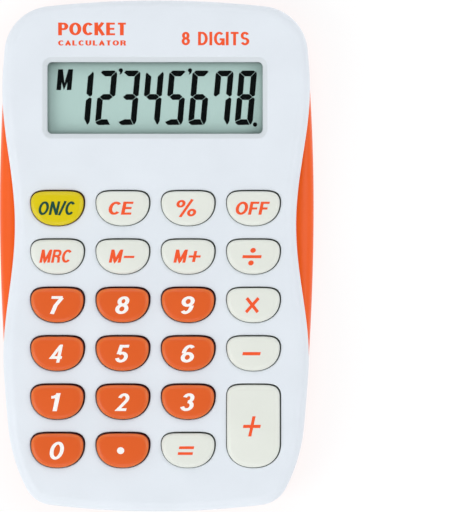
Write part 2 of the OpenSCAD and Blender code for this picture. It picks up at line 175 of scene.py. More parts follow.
# A case screw from its domed head to its tip, as radius and height in millimetres, and its cross recess
# as long and short half widths and the height that it is cut to.
SCREW_PROFILE = ((1.35, 0.3), (1.52, 0.36), (1.6, 0.5), (1.6, 1.28), (0.8, 1.28), (0.8, 6.2), (0.35, 6.9))
CROSS_LONG, CROSS_SHORT, CROSS_TOP = 0.95 * MM, 0.17 * MM, 0.85 * MM

# The bevel round the window from the face down, as shares of its width and depth.
BEVEL_PROFILE = ((1.25, 0), (1.08, 0), (0.94, 0.05), (0.06, 0.93), (0.01, 0.99), (0, 1.1))

# Keys: how far an aperture's middle is from its node's, the powers of its outline (above the widest line
# across and upwards, and below it), the flange, the hollow of a key's foot as inward moves, how far the
# crown is below the node's top, how much flatter a longer key is, and the rings that make up the crown.
KEY_SHIFT = np.array([-0.03, -0.077]) * MM
UPPER_ACROSS, UPPER_UP, LOWER = 5.2, 2.1, 2.2
FLANGE_W = 0.6 * MM
FLANGE_Z = (8.0 * MM, 8.8 * MM)
FOOT_IN = (2 * MM, 1.5 * MM)
CROWN_DROP = 0.03 * MM
CROWN_FLATTER = 3
CROWN_SHARES = (1, 0.86, 0.7, 0.52, 0.34, 0.16)

# Legends: how far they sit from the middle of an aperture, the gap between letters as a share of the cap
# height, the longest step along a stroke in millimetres here and in the words on the face, and the
# letters' lean in degrees.
LEGEND_SHIFT = (0.03, -0.053)
LEGEND_GAP = 0.1
LEGEND_STEP = 0.3
FACE_STEP = 0.5
LEAN = 12

# Prints: heights of the top and of the hidden foot over the surface that they are on.
LEGEND_RISE = (0.024 * MM, -0.05 * MM)
FACE_RISE = (0.015 * MM, -0.02 * MM)
FIGURE_RISE = (0.03 * MM, -0.02 * MM)

# Signs on the keys that aren't letters: how thick their upright and level strokes are, in millimetres,
# and how far they lean, in degrees.
SYMBOLS = {
    ":": (0.56, 0.56, 8), "x": (0.72, 0.6, 3), "-": (0.6, 0.6, 12), "+": (0.66, 0.6, 12), ".": (0.6, 0.6, 0),
    "=": (0.6, 0.52, 12), "%": (0.4, 0.38, 12),
}

# Upright and level strokes of words and of figures, as shares of the cap height.
STROKE = ((0.2, 0.165), (0.172, 0.15))

# Words above the display: text, cap height, width, middle, upright stroke, level stroke, letter gap.
FACE_WORDS = (
    ("POCKET", 2.45, 13.0, (-12.25, 43.6), 0.26, 0.15, 0.16),
    ("CALCULATOR", 0.98, 13.0, (-12.25, 40.95), 0.27, 0.17, 0.26),
    ("8 DIGITS", 2.6, 13.0, (11.45, 41.75), 0.2, 0.155, 0.12),
)

# Figures shown, the bars that each lights, where the last one starts, how far their foot is below the
# window's middle, their slant, the height of their middle bar, and the hairline between bars.
SHOWN = "12345678"
BARS_LIT = {
    "1": "bc", "2": "abged", "3": "abgcd", "4": "fgbc",
    "5": "afgcd", "6": "afgecd", "7": "abcf", "8": "abcdefg",
}
FIGURE_X = 15.1
FIGURE_FOOT = 5.13
FIGURE_SLANT = math.tan(math.radians(5))
MIDLINE = 0.515
HAIRLINE = 0.06

# The point's place and radius. The thousands marks: places, top, radius and tail.
POINT = (19.06, 0.1)
POINT_R = 0.42
MARKS_X = (-6.83, 6.52)
MARK_TOP = 10.55
MARK_R = 0.4
MARK_TAIL = ((0.4, 0), (-0.1, -0.2), (-0.22, -0.85), (0.22, -0.55))

# The memory letter: its strokes on a unit box, its size, inset, stroke widths and place.
LETTER = (((0, 0), (0, 1)), ((0.02, 0.97), (0.5, 0.1), (0.98, 0.97)), ((1, 0), (1, 1)))
LETTER_SIZE = np.array([2.0, 4.0])
LETTER_INSET = np.array([0.38, 0])
LETTER_STROKES = (0.88, 0.95)
LETTER_PLACE = (-19.2, 6.75)

# Keypad mat: thickness of its sheet, cut at its corners, holes that the domes stand in, the radius of a
# pill, and a dome's profile from the hollow's floor, up and over the outside, as radius and height in
# millimetres.
MAT_T = 0.6 * MM
MAT_CUT = 3.0 * MM
DOME_HOLE = 2.95 * MM
PILL_R = 1.4 * MM
DOME_PROFILE = (
    (1.5, 6.8), (1.62, 6.62), (1.72, 6.5), (1.83, 6.35), (1.94, 6.2), (2.3, 5.7), (2.37, 5.6), (3.0, 5.6),
    (3.02, 5.7), (2.9, 6.16), (2.8, 6.3), (2.75, 6.42), (2.69, 6.55), (2.63, 6.7), (2.57, 6.85), (2.5, 7.0),
    (2.4, 7.25), (2.32, 7.42), (2.24, 7.58), (2.12, 7.67), (1.95, 7.7),
)

# Materials of the parts that keep the frame's own shape.
INNER_FINISHES = {
    "display_lens": "clear_plastic", "lens_adhesive": "black_adhesive", "lcd_frame": "black_plastic",
    "lcd_front_polariser": "display_film",
    "lcd_front_glass": "display_glass", "lcd_rear_glass": "display_glass",
    "lcd_reflector": "reflector_film", "zebra_strip": "pink_rubber", "circuit_board": "board",
    "chip_blob": "black_resin", "board_capacitors": "capacitor_body", "board_resistors": "resistor_body",
    "battery_cell": "cell_steel",
    "battery_contact_plus": "contact_brass", "battery_contact_minus": "contact_brass",
    "board_screws": "screw_steel",
}

# The camera's sensor height in millimetres and the nearest distance that it sees, and the floor's half
# width, half length and corners, and its foot and top, in metres.
SENSOR = 36.0
CLIP = 0.01
STAGE_FLOOR = (0.9, 0.9, 0.05)
STAGE_Z = (-0.002, -0.0002)

# The room's light: its tint, its strength at eye height and overhead, and where it starts and ends to
# change between them, as the height of a direction of length 1.
ROOM_TINT = (0.95, 0.965, 1.0, 1.0)
HORIZON = 0.95
ZENITH = 0.22
CHANGE = (0.15, 0.9)

# Lights: name, place, size, power and tint.
LIGHTS = (
    ("left_light", (-0.75, -0.35, 0.75), 0.6, 4.4, (1.0, 1.0, 0.99)),
    ("right_light", (0.8, 0.15, 0.75), 0.6, 2.9, (1.0, 1.0, 1.0)),
    ("top_light", (-0.05, 0.85, 0.75), 0.6, 2.3, (1.0, 1.0, 1.0)),
    ("near_light", (0.0, -0.85, 0.75), 0.6, 2.3, (1.0, 1.0, 1.0)),
)


# ---------------------------------------------------------------- settings

def length(name, default_mm, text, low=0.0):
    """A length property whose default is given in millimetres."""
    default = default_mm * MM
    return FloatProperty(name=name, description=text, default=default, min=low, unit="LENGTH", precision=5)


def colour(name, default, text):
    """A colour property. The default is in display values from 0 to 255."""
    return FloatVectorProperty(name=name, description=text, subtype="COLOR", min=0.0, max=1.0,
                               default=[linear(v / 255) for v in default])


def linear(value):
    """Display value to light: a straight line below 0.04, and a power of 2.4 above it."""
    return value / 12.92 if value <= 0.04045 else ((value + 0.055) / 1.055) ** 2.4


def middle(corners):
    """Middle of a box in the plane."""
    low, high = np.array(corners)
    return ((low + high) / 2)[:2]


CASE_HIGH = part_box("rear_case")[1]
LCD_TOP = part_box("lcd_front_polariser")[1][2]
KEY_LENGTH = np.ptp(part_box("key_7"), axis=0)[1]
CELL = middle(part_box("battery_cell"))
WINDOW = middle(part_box("display_lens")) + np.array([-0.18, 0]) * MM


class CalculatorBody(bpy.types.PropertyGroup):
    """Sizes of the two shells."""
    half_w: length("Half width", CASE_HIGH[0] / MM, "Half the width at the widest point")
    half_l: length("Half length", CASE_HIGH[1] / MM, "Half the length")
    face_z: length("Face height", 10.5, "Height of the front face above the back")
    parting_z: length("Parting height", CASE_HIGH[2] / MM, "Height of the plane between the two shells")
    wall: length("Wall", 1.6, "Thickness of both shells")
    widest_y: length("Widest point", 10, "Distance of the widest point from the middle")
    top_r: length("Display end radius", 197, "Radius of the display end")
    top_corner_r: length("Top corner radius", 9.3, "Radius of the corners at the display end")
    side_up_r: length("Upper side radius", 346, "Radius of the sides above the widest point")
    side_down_r: length("Lower side radius", 464, "Radius of the sides below the widest point")
    heel_r: length("Heel radius", 32, "Radius of the long curve of the lower corners")
    bottom_corner_r: length("Bottom corner radius", 6, "Radius of the tight curve of the lower corners")
    bottom_r: length("Bottom end radius", 164, "Radius of the bottom end")
    waist_depth: length("Waist depth", 3.5, "How far the cover draws in at the waist")
    waist_left: FloatProperty(name="Left waist share", default=0.93, min=0.0, max=1.0, subtype="FACTOR",
                              description="Depth of the left waist as a share of the right")
    waist_y: length("Waist place", 6.4, "Distance of the waist from the middle")
    waist_half_l: length("Waist half length", 29.5, "Half the length over which the cover draws in")
    face_round: length("Face rounding", 2.2, "Radius of the rounding round the face")
    back_round: length("Back rounding", 2.5, "Radius of the rounding round the back")
    shoulder_h: length("Shoulder height", 2.5, "Height of the rear case's shoulder at the waist")


class CalculatorKeys(bpy.types.PropertyGroup):
    """Sizes of the keys and their apertures."""
    half_w: length("Half width", 5.26, "Half the width of an aperture")
    rise: length("Rise", 2.25, "Height of the aperture above its widest line")
    drop: length("Drop", 4.7, "Depth of the aperture below its widest line")
    gap: length("Gap", 0.12, "Gap round a key")
    draft: length("Draft", 0.08, "How far a key's wall leans in from foot to crown")
    edge_w: length("Edge width", 0.9, "Width of the rounding round a key's crown")
    edge_h: length("Edge height", 0.55, "Height of the rounding round a key's crown")
    crown_x: length("Crown radius across", 40, "Radius of the crown across the key")
    crown_y: length("Crown radius along", 24, "Radius of the crown along the key")
    lip: length("Lip", 0.16, "Radius of the rounding round an aperture")
    slack: FloatVectorProperty(name="Slack", size=2, subtype="TRANSLATION", unit="LENGTH", precision=5,
                               description="How far the keys sit from the middle of their apertures",
                               default=(-0.065 * MM, -0.085 * MM))


class CalculatorDisplay(bpy.types.PropertyGroup):
    """Sizes of the window and of the display's figures."""
    half_w: length("Window half width", 20.7, "Half the width of the aperture")
    half_h: length("Window half height", 6.9, "Half the height of the aperture")
    corner: length("Window corner", 0.9, "Corner radius of the aperture")
    bevel_w: length("Bevel width", 1.05, "Width of the bevel round the aperture")
    bevel_h: length("Bevel depth", 0.6, "Depth of the bevel round the aperture")
    digit_w: length("Figure width", 3.45, "Width of a figure")
    digit_h: length("Figure height", 10.5, "Height of a figure")
    digit_pitch: length("Figure pitch", 4.49, "Distance between figures")
    bar: length("Bar width", 1.1, "Width of a figure's bars")


class CalculatorColours(bpy.types.PropertyGroup):
    """Colours of the finishes."""
    white: colour("Cover", (228, 234, 240), "Front cover")
    # Painted shade: the greyer colour painted on the bevel round the window, where the recess shades it.
    bevel: colour("Window bevel", (214, 220, 224), "Bevel round the window")
    orange: colour("Rear case", (245, 93, 8), "Rear case and battery door")
    key_orange: colour("Orange key", (225, 96, 38), "Figure keys")
    # Painted highlight: the paler colour painted where a figure key's crown rounds over.
    orange_rim_highlight: colour("Orange key rim", (234, 121, 52), "Figure keys where the crown rounds over")
    key_cream: colour("Cream key", (229, 232, 223), "Function keys")
    key_yellow: colour("Yellow key", (220, 199, 11), "On key")
    ink_orange: colour("Orange ink", (245, 90, 45), "Legends and face print")
    ink_white: colour("White ink", (250, 248, 244), "Legends of the figure keys")
    ink_green: colour("Green ink", (25, 75, 60), "Legend of the on key")
    lcd: colour("Display", (193, 222, 215), "Display background")
    # Painted shade: the darker colour painted on the display background beside the frame.
    lcd_rim_shade: colour("Display edge", (103, 117, 117), "Display background beside the frame")


class CalculatorStage(bpy.types.PropertyGroup):
    """The camera."""
    view_x: length("View shift", 15.49, "How far to the right of the middle the camera looks")
    view_h: length("View height", 98.3, "Length of the face that fills the picture's height")
    lens: FloatProperty(name="Focal length", default=200, min=20, unit="CAMERA",
                        description="Focal length of the camera in millimetres")


# ---------------------------------------------------------------- shapes in the plane

def arc(centre, radius, start, end, count):
    """Circle points: the centre plus the radius times the cosine and sine of an even run of angles in
    degrees, the last one left out. Gives the points and their outward normals."""
    angle = np.radians(start + (end - start) * np.arange(count) / count)
    normal = np.column_stack([np.cos(angle), np.sin(angle)])
    return np.asarray(centre) + radius * normal, normal


def heading(start, end):
    """Angle in degrees of the line from start to end."""
    return math.degrees(math.atan2(end[1] - start[1], end[0] - start[0]))


def touching(c1, r1, c2, r2, r, side):
    """Centre of a circle inside two larger ones that touches both: its distances to their centres are
    r1 - r and r2 - r, so it lies where those two distances cross, on the given side."""
    c1, c2 = np.array(c1), np.array(c2)
    a, b = r1 - r, r2 - r
    line = (c2 - c1) / np.linalg.norm(c2 - c1)
    span = np.linalg.norm(c2 - c1)
    x = (a * a - b * b + span * span) / (2 * span)
    return c1 + x * line + side * math.sqrt(a * a - x * x) * np.array([line[1], -line[0]])


def body_outline(body):
    """Outline of the body as seven arcs that run into each other, mirrored: points and outward normals,
    anticlockwise from the middle of the display end."""
    heel_start = 5.3
    top = (0, body.half_l - body.top_r)
    side_up = (body.half_w - body.side_up_r, body.widest_y)
    side_down = (body.half_w - body.side_down_r, body.widest_y)
    top_corner = touching(side_up, body.side_up_r, top, body.top_r, body.top_corner_r, -1)
    turn = math.radians(heel_start)
    reach = body.side_down_r - body.heel_r
    heel = np.array(side_down) + reach * np.array([math.cos(turn), -math.sin(turn)])
    bottom = (0, body.bottom_r - body.half_l)
    corner = touching(heel, body.heel_r, bottom, body.bottom_r, body.bottom_corner_r, 1)
    over, up = heading(top, top_corner), heading(side_up, top_corner)
    down, under = heading(heel, corner), heading(bottom, corner)
    runs = (
        arc(top, body.top_r, 90, over, 10),
        arc(top_corner, body.top_corner_r, over, up, 24),
        arc(side_up, body.side_up_r, up, 0, 32),
        arc(side_down, body.side_down_r, 0, -heel_start, 44),
        arc(heel, body.heel_r, -heel_start, down, 20),
        arc(corner, body.bottom_corner_r, down, under, 18),
        arc(bottom, body.bottom_r, under, -90, 10),
        (np.array([[0, -body.half_l]]), np.array([[0.0, -1.0]])),
    )
    points = np.concatenate([run[0] for run in runs])
    normals = np.concatenate([run[1] for run in runs])
    mirror = np.array([-1, 1])
    points = np.concatenate([points, (points * mirror)[-2:0:-1]])
    normals = np.concatenate([normals, (normals * mirror)[-2:0:-1]])
    return points[::-1], normals[::-1]


def body_ring(body, inset, pinch):
    """The outline moved inwards by inset, and drawn in at the waist by pinch times a squared cosine."""
    points, normals = body_outline(body)
    ring = points - inset * normals
    along = np.clip((ring[:, 1] - body.waist_y) / body.waist_half_l, -1, 1)
    side = np.where(ring[:, 0] < 0, -body.waist_left, np.sign(ring[:, 0]))
    ring[:, 0] -= side * pinch * body.waist_depth * np.cos(along * math.pi / 2) ** 2
    return ring


def distances(line):
    """Distance of each point along a line: the sum of the lengths of the pieces before it."""
    return np.concatenate([[0], np.cumsum(np.linalg.norm(np.diff(line, axis=0), axis=1))])


def points_at(line, run, at):
    """Points of a line at the given distances along it, straight between its own."""
    return np.column_stack([np.interp(at, run, line[:, 0]), np.interp(at, run, line[:, 1])])


def evenly(points, count):
    """The same closed line with its points set at even distances along it."""
    closed = np.vstack([points, points[:1]])
    run = distances(closed)
    return points_at(closed, run, np.linspace(0, run[-1], count, endpoint=False))


def grown(points, grow):
    """A closed anticlockwise line moved outwards along its normals, which are its turned tangents."""
    tangent = np.roll(points, -1, axis=0) - np.roll(points, 1, axis=0)
    normal = np.column_stack([tangent[:, 1], -tangent[:, 0]])
    return points + grow * normal / np.linalg.norm(normal, axis=1)[:, None]


def key_outline(keys, stretch, count=96):
    """Aperture of a key round its middle: above the widest line a superellipse with a flat top, whose
    powers across and upwards differ, below it a superellipse of one power, and the two halves moved
    apart by stretch."""
    angle = np.linspace(0, 2 * math.pi, 1440, endpoint=False)
    c, s = np.cos(angle), np.sin(angle)
    upper = s > 0
    x = keys.half_w * np.sign(c) * np.abs(c) ** np.where(upper, 2 / UPPER_ACROSS, 2 / LOWER)
    y = np.where(upper, keys.rise * np.abs(s) ** (2 / UPPER_UP), -keys.drop * np.abs(s) ** (2 / LOWER))
    y += (keys.drop - keys.rise) / 2 + np.where(upper, stretch, -stretch) / 2
    return evenly(np.column_stack([x, y]), count)


def rounded_box(half_w, half_h, radius, count=8):
    """Rectangle with quarter circles for corners, anticlockwise."""
    corners = ((1, 1, 0), (-1, 1, 90), (-1, -1, 180), (1, -1, 270))
    inner = np.array([half_w - radius, half_h - radius])
    swing = 90 * count / (count - 1)
    return np.concatenate([
        arc(inner * (sx, sy), radius, turn, turn + swing, count)[0] for sx, sy, turn in corners
    ])


def circle(centre, radius, count=32):
    """Anticlockwise circle."""
    return arc(centre, radius, 0, 360, count)[0]


# ---------------------------------------------------------------- surfaces

class Surface:
    """A closed surface put together from rings, strips between rings, and flat caps."""

    def __init__(self):
        self.points = []
        self.faces = []
        self.size = 0

    def ring(self, line, z):
        """Adds a line of points at height z, which may be a number or one per point. Gives their places."""
        z = np.broadcast_to(z, len(line))
        self.points.append(np.column_stack([line, z]))
        self.size += len(line)
        return np.arange(self.size - len(line), self.size)

    def strip(self, *rings):
        """Four-sided faces between each ring and the next, closed round."""
        for low, high in zip(rings, rings[1:]):
            quads = np.column_stack([low, np.roll(low, -1), np.roll(high, -1), high])
            self.faces += quads.tolist()

    def profile(self, line, steps):
        """A profile carried round a closed line: each step is (outward move, height). Gives the rings."""
        rings = [self.ring(grown(line, move), z) for move, z in steps]
        self.strip(*rings)
        return rings

    def cap(self, outer, holes=(), up=True):
        """Triangles that fill the flat area inside the outer ring and outside the holes."""
        places = np.concatenate([outer, *holes])
        flat = np.concatenate(self.points)[places][:, :2] / MM
        edges = []
        start = len(outer)
        for loop in holes:
            index = np.arange(start, start + len(loop))
            edges += np.column_stack([index, np.roll(index, -1)]).tolist()
            start += len(loop)
        result = delaunay_2d_cdt(flat.tolist(), edges, [list(range(len(outer)))], 2, 1e-9)
        origin = [source[0] for source in result[3]]
        for triangle in result[2]:
            face = [int(places[origin[i]]) for i in triangle]
            self.faces.append(face if up else face[::-1])

    def disc(self, ring, up=True):
        """Triangles from a ring to its middle."""
        points = np.concatenate(self.points)[ring]
        centre = self.ring(points[:, :2].mean(axis=0)[None], points[:, 2].mean())[0]
        nexts = np.roll(ring, -1)
        fan = np.column_stack([ring, nexts, np.full(len(ring), centre)])
        self.faces += (fan if up else fan[:, ::-1]).tolist()

    def turned(self, centre, profile):
        """A closed round solid: each step of its profile is (radius, height) in millimetres, foot first."""
        rings = [self.ring(circle(centre, radius * MM), z * MM) for radius, z in profile]
        self.strip(*rings)
        self.disc(rings[0], up=False)
        self.disc(rings[-1])

    def tube(self, outer, inner, low, high):
        """A closed wall between two lines, from one height to another."""
        rings = [self.ring(line, z) for line, z in ((outer, low), (outer, high), (inner, high), (inner, low))]
        self.strip(*rings, rings[0])

    def slab(self, outer, low, high, holes=()):
        """A plate with holes."""
        foot, head = self.ring(outer, low), self.ring(outer, high)
        self.strip(foot, head)
        feet = [self.ring(hole, low) for hole in holes]
        heads = [self.ring(hole, high) for hole in holes]
        for bottom, top in zip(feet, heads):
            self.strip(top, bottom)
        self.cap(head, heads)
        self.cap(foot, feet, up=False)

    def mesh(self, name):
        """The surface as a mesh."""
        mesh = bpy.data.meshes.new(name)
        mesh.from_pydata(np.concatenate(self.points).tolist(), [], self.faces)
        return mesh

    def piece(self, name, finish, body, slot, replaces=(), crease=40):
        """Makes the surface one object that rides on a body. Angles over crease stay sharp."""
        return finished(name, self.mesh(name), finish, body, replaces, crease)


def added(name, data):
    """A new object in the scene with that mesh, light or camera."""
    thing = bpy.data.objects.new(name, data)
    bpy.context.scene.collection.objects.link(thing)
    return thing


def finished(name, mesh, finish, body, replaces=(), crease=40):
    """Puts a mesh in the scene with its finish, smooth but for its creases, riding on its body if given."""
    mesh.validate()
    mesh.shade_smooth()
    mesh.set_sharp_from_angle(angle=math.radians(crease))
    mesh.materials.clear()
    mesh.materials.append(finish)
    piece = added(name, mesh)
    if body:
        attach(piece, body)
    if replaces:
        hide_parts(*replaces)
    return piece


def scratch(surface):
    """A surface as a plain object, to cut or to cut with."""
    return added("scratch", surface.mesh("scratch"))


def box_tool(x0, x1, y0, y1, z0, z1):
    """A block to cut with."""
    surface = Surface()
    surface.slab(np.array([(x0, y0), (x1, y0), (x1, y1), (x0, y1)]), z0, z1)
    return scratch(surface)


def carved(blank, tools):
    """Applies exact booleans to a scratch object: tools are (operation, object). Gives the mesh."""
    for operation, tool in tools:
        cut = blank.modifiers.new("cut", "BOOLEAN")
        cut.solver = "EXACT"
        cut.operation = operation
        cut.object = tool
    depsgraph = bpy.context.evaluated_depsgraph_get()
    mesh = bpy.data.meshes.new_from_object(blank.evaluated_get(depsgraph))
    for tool in [blank] + [tool for _, tool in tools]:
        bpy.data.objects.remove(tool)
    return mesh


def quarter(steps):
    """Even angles over a quarter turn, as (sine, cosine) pairs."""
    return [(math.sin(a), math.cos(a)) for a in np.linspace(0, math.pi / 2, steps)]


# ---------------------------------------------------------------- materials

class Wire:
    """A socket that carries a number. Sums on wires add Math nodes."""

    def __init__(self, finish, socket):
        self.finish = finish
        self.socket = socket

    def math(self, operation, *values):
        """A Math node on those values."""
        return self.finish.node("ShaderNodeMath", {"operation": operation}, dict(enumerate(values)))

    def __add__(self, other):
        return self.math("ADD", self, other)

    def __sub__(self, other):
        return self.math("SUBTRACT", self, other)

    def __mul__(self, other):
        return self.math("MULTIPLY", self, other)

    def __truediv__(self, other):
        return self.math("DIVIDE", self, other)

    def __rsub__(self, other):
        return self.math("SUBTRACT", other, self)

    def __rtruediv__(self, other):
        return self.math("DIVIDE", other, self)

    def __abs__(self):
        return self.math("ABSOLUTE", self)

    __radd__ = __add__
    __rmul__ = __mul__

    def smaller(self, other):
        """The smaller of the two values."""
        return self.math("MINIMUM", self, other)

    def wave(self):
        """Sine of the value, in radians."""
        return self.math("SINE", self)

    def ramp(self, low, high):
        """0 at or below low, 1 at or above high, and an even slope between them."""
        return self.finish.node("ShaderNodeMapRange", {"clamp": True}, {0: self, 1: low, 2: high})


class Finish:
    """A material. Its plain values are set on the shader, and wires feed what varies."""

    def __init__(self, name, **values):
        self.material = bpy.data.materials.new(name)
        self.material.use_nodes = True
        self.tree = self.material.node_tree
        self.shader = self.tree.nodes["Principled BSDF"]
        self.set(**values)

    def set(self, **values):
        """Sets or links sockets of the shader, named with underscores for spaces."""
        for name, value in values.items():
            self.feed(self.shader.inputs[name.replace("_", " ")], value)

    def feed(self, socket, value):
        """Links a wire to a socket, or sets the socket's value."""
        if isinstance(value, Wire):
            self.tree.links.new(value.socket, socket)
        else:
            socket.default_value = value

    def node(self, kind, settings, sockets, output=0):
        """Adds a node, its settings before the values or links of its sockets. Gives one of its outputs."""
        node = self.tree.nodes.new(kind)
        for name, value in settings.items():
            setattr(node, name, value)
        for name, value in sockets.items():
            self.feed(node.inputs[name], value)
        return Wire(self, node.outputs[output])

    def place(self):
        """Object coordinates."""
        return self.node("ShaderNodeTexCoord", {}, {}, 3)

    def axes(self):
        """The three coordinates, in metres."""
        split = self.node("ShaderNodeSeparateXYZ", {}, {0: self.place()})
        return [Wire(self, output) for output in split.socket.node.outputs]

    def noise(self, size, detail=2.0, stretch=(1, 1, 1)):
        """Noise whose features are about size metres across, times the stretch."""
        scale = [1 / (size * side) for side in stretch]
        place = self.node("ShaderNodeMapping", {}, {"Vector": self.place(), "Scale": scale})
        return self.node("ShaderNodeTexNoise", {}, {"Vector": place, "Scale": 1.0, "Detail": detail})

    def specks(self, size, low, high):
        """Round specks about size metres apart: 1 in their middle and 0 from low outwards."""
        place = self.node("ShaderNodeMapping", {}, {"Vector": self.place(), "Scale": [1 / size] * 3})
        cells = self.node("ShaderNodeTexVoronoi", {}, {"Vector": place, "Scale": 1.0})
        return 1 - cells.ramp(low, high)

    def mix(self, factor, first, second):
        """Colour between two colours."""
        settings = {"data_type": "RGBA"}
        first, second = ([*c, 1.0] if not isinstance(c, Wire) else c for c in (first, second))
        return self.node("ShaderNodeMix", settings, {0: factor, 6: first, 7: second}, 2)

    def skin(self, tint, rough, height, depth):
        """Sets colour and roughness, and normals raised by height times depth metres. Gives the material."""
        normal = self.node("ShaderNodeBump", {}, {"Height": height, "Distance": depth, "Strength": 1.0})
        self.set(Base_Color=tint, Roughness=rough, Normal=normal)
        return self.material


def shade(value, gain):
    """A colour made lighter or darker."""
    return [min(1.0, channel * gain) for channel in value]


def moulded(name, base, rough=0.42, grain=0.12 * MM, depth=0.004 * MM, mottle=0.03, painted_light_bands=(), within=None):
    """Moulded plastic: spark-eroded grain, a faint ripple, and a slow drift of colour and gloss. Each band
    is painted light: a height, its fade and a colour of painted shade or painted highlight that the plastic
    takes on under that height. If within is given, as a half width and a half height, a band shows only
    that near to the window's middle."""
    finish = Finish(name, IOR=1.49, Specular_IOR_Level=0.3)
    drift = finish.noise(9 * MM, 3)
    fine = finish.noise(grain, 3)
    ripple = finish.noise(2.4 * MM, 1)
    cloud = (drift * 0.7 + fine * 0.3).ramp(0.3, 0.7)
    tint = finish.mix(cloud, shade(base, 1 - mottle), shade(base, 1 + mottle * 0.6))
    x, y, z = finish.axes() if painted_light_bands else (None, None, None)
    # Each band paints shade or highlight on the plastic below its height.
    for height, fade, deep in painted_light_bands:
        under = z.ramp(height * MM, (height - fade) * MM)
        if within:
            half_w, half_h = within
            near_x = abs(x).ramp((half_w + 1) * MM, half_w * MM)
            under = under * near_x * abs(y - WINDOW[1]).ramp((half_h + 1) * MM, half_h * MM)
        tint = finish.mix(under, tint, deep)
    gloss = rough + (fine - 0.5) * 0.16 + (drift - 0.5) * 0.1
    return finish.skin(tint, gloss, fine + ripple * 2.0, depth)


def key_plastic(name, base, rim, skirt_shade, height=10.5):
    """Key plastic with painted light: a painted highlight, paler where the crown rounds over, and painted
    shade, dark on the key's wall below the given height, where the gap round the key lies in shade.
    """
    painted_light_bands = ((11.42, 0.35, rim), (height, 0.2, skirt_shade))
    return moulded(name, base, 0.34, 0.2 * MM, 0.003 * MM, painted_light_bands=painted_light_bands)


def printed(name, base, shine=0.2):
    """Pad-printed ink: slightly uneven cover, a faint pebble, and a softer gloss than the plastic."""
    finish = Finish(name, IOR=1.5, Specular_IOR_Level=shine)
    fine = finish.noise(0.16 * MM, 3)
    cover = finish.noise(0.7 * MM, 2).ramp(0.25, 0.75)
    tint = finish.mix(cover, shade(base, 0.95), base)
    return finish.skin(tint, 0.45 + (fine - 0.5) * 0.2, fine, 0.003 * MM)


def metal(name, base, rough, stretch=(1, 1, 1)):
    """Metal with fine drawn lines, a little tarnish and uneven gloss."""
    finish = Finish(name, Metallic=1.0)
    lines = finish.noise(0.05 * MM, 4, stretch)
    tarnish = finish.noise(1.8 * MM, 4).ramp(0.45, 0.75)
    tint = finish.mix(tarnish, base, shade(base, 0.72))
    return finish.skin(tint, rough + (lines - 0.5) * 0.18 + tarnish * 0.12, lines, 0.003 * MM)


def rubber(name, base, rough=0.62):
    """Moulded rubber: a soft pebble, dust in the hollows, and a dull gloss."""
    finish = Finish(name, IOR=1.42)
    pebble = finish.noise(0.2 * MM, 4)
    dust = finish.noise(3 * MM, 4).ramp(0.5, 0.8)
    tint = finish.mix(dust * 0.35, base, shade(base, 1.35))
    return finish.skin(tint, rough + (pebble - 0.5) * 0.2, pebble, 0.008 * MM)


def sheet_plastic(name, base, rough, alpha=1.0, smear=0.05):
    """Clear or tinted sheet: faint smears of gloss and the finest scratches."""
    finish = Finish(name, IOR=1.49, Alpha=alpha)
    smears = finish.noise(5 * MM, 4, (1, 2.5, 1)).ramp(0.4, 0.8)
    scratches = finish.noise(0.35 * MM, 2, (14, 0.3, 1)).ramp(0.66, 0.7)
    tint = finish.mix(smears, base, shade(base, 0.96))
    return finish.skin(tint, rough + smears * smear + scratches * 0.08, scratches, 0.001 * MM)


def display_film(colours, display):
    """Display background: even in the middle, and darker towards the rim of the window with painted shade,
    where the recess shades it. The shade is the cube of one less the least distance to the four sides,
    which is counted a little long across."""
    finish = Finish("display_film", IOR=1.46, Specular_IOR_Level=0.15)
    x, y, _ = finish.axes()
    fine = finish.noise(0.1 * MM, 2)
    drift = finish.noise(12 * MM, 2)
    side = (display.half_w - abs(x - WINDOW[0])) / MM + 0.3
    ends = (display.half_h - abs(y - WINDOW[1])) / MM
    depth = side.smaller(ends) + (drift - 0.5) * 0.15
    # Painted shade: the background turns to the edge colour near the window's rim.
    rim = 1 - depth.ramp(-0.2, 1.4)
    open_tint = finish.mix(drift, shade(colours.lcd, 0.98), colours.lcd)
    tint = finish.mix(rim * rim * rim * 0.85, open_tint, colours.lcd_rim_shade)
    return finish.skin(tint, 0.5 + (fine - 0.5) * 0.12, fine, 0.001 * MM)


def board_finish():
    """Solder mask over glass cloth: a fine weave, darker tracks in two directions, and a wet gloss."""
    finish = Finish("board", IOR=1.5)
    x, y, _ = finish.axes()
    cloth = (x / (0.07 * MM)).wave() * (y / (0.07 * MM)).wave()
    lanes = abs((y / (0.55 * MM)).wave())
    breaks = finish.noise(4 * MM, 1, (2, 0.4, 1)).ramp(0.5, 0.53)
    track = lanes.ramp(0.72, 0.78) * breaks
    tint = finish.mix(track, (0.03, 0.13, 0.05), (0.055, 0.22, 0.08))
    return finish.skin(tint, 0.34 + cloth * 0.04 - track * 0.06, track + cloth * 0.08, 0.03 * MM)


def speckled(name, base, spot, rough):
    """Fired or potted part: a dull body with scattered specks."""
    finish = Finish(name, IOR=1.5)
    spots = finish.specks(0.35 * MM, 0.1, 0.3)
    fine = finish.noise(0.08 * MM, 4)
    return finish.skin(finish.mix(spots * 0.6, base, spot), rough + (fine - 0.5) * 0.2, fine, 0.006 * MM)


def floor_finish():
    """Matt pale paper, lit from behind."""
    glow = {"Emission_Color": (1, 1, 1, 1), "Emission_Strength": 0.82}
    finish = Finish("stage_paper", Specular_IOR_Level=0.0, **glow)
    fine = finish.noise(0.8 * MM, 3)
    finish.set(
        Base_Color=finish.mix(fine, (0.19, 0.19, 0.19), (0.2, 0.2, 0.2)),
        Roughness=0.85 + (fine - 0.5) * 0.1,
    )
    return finish.material


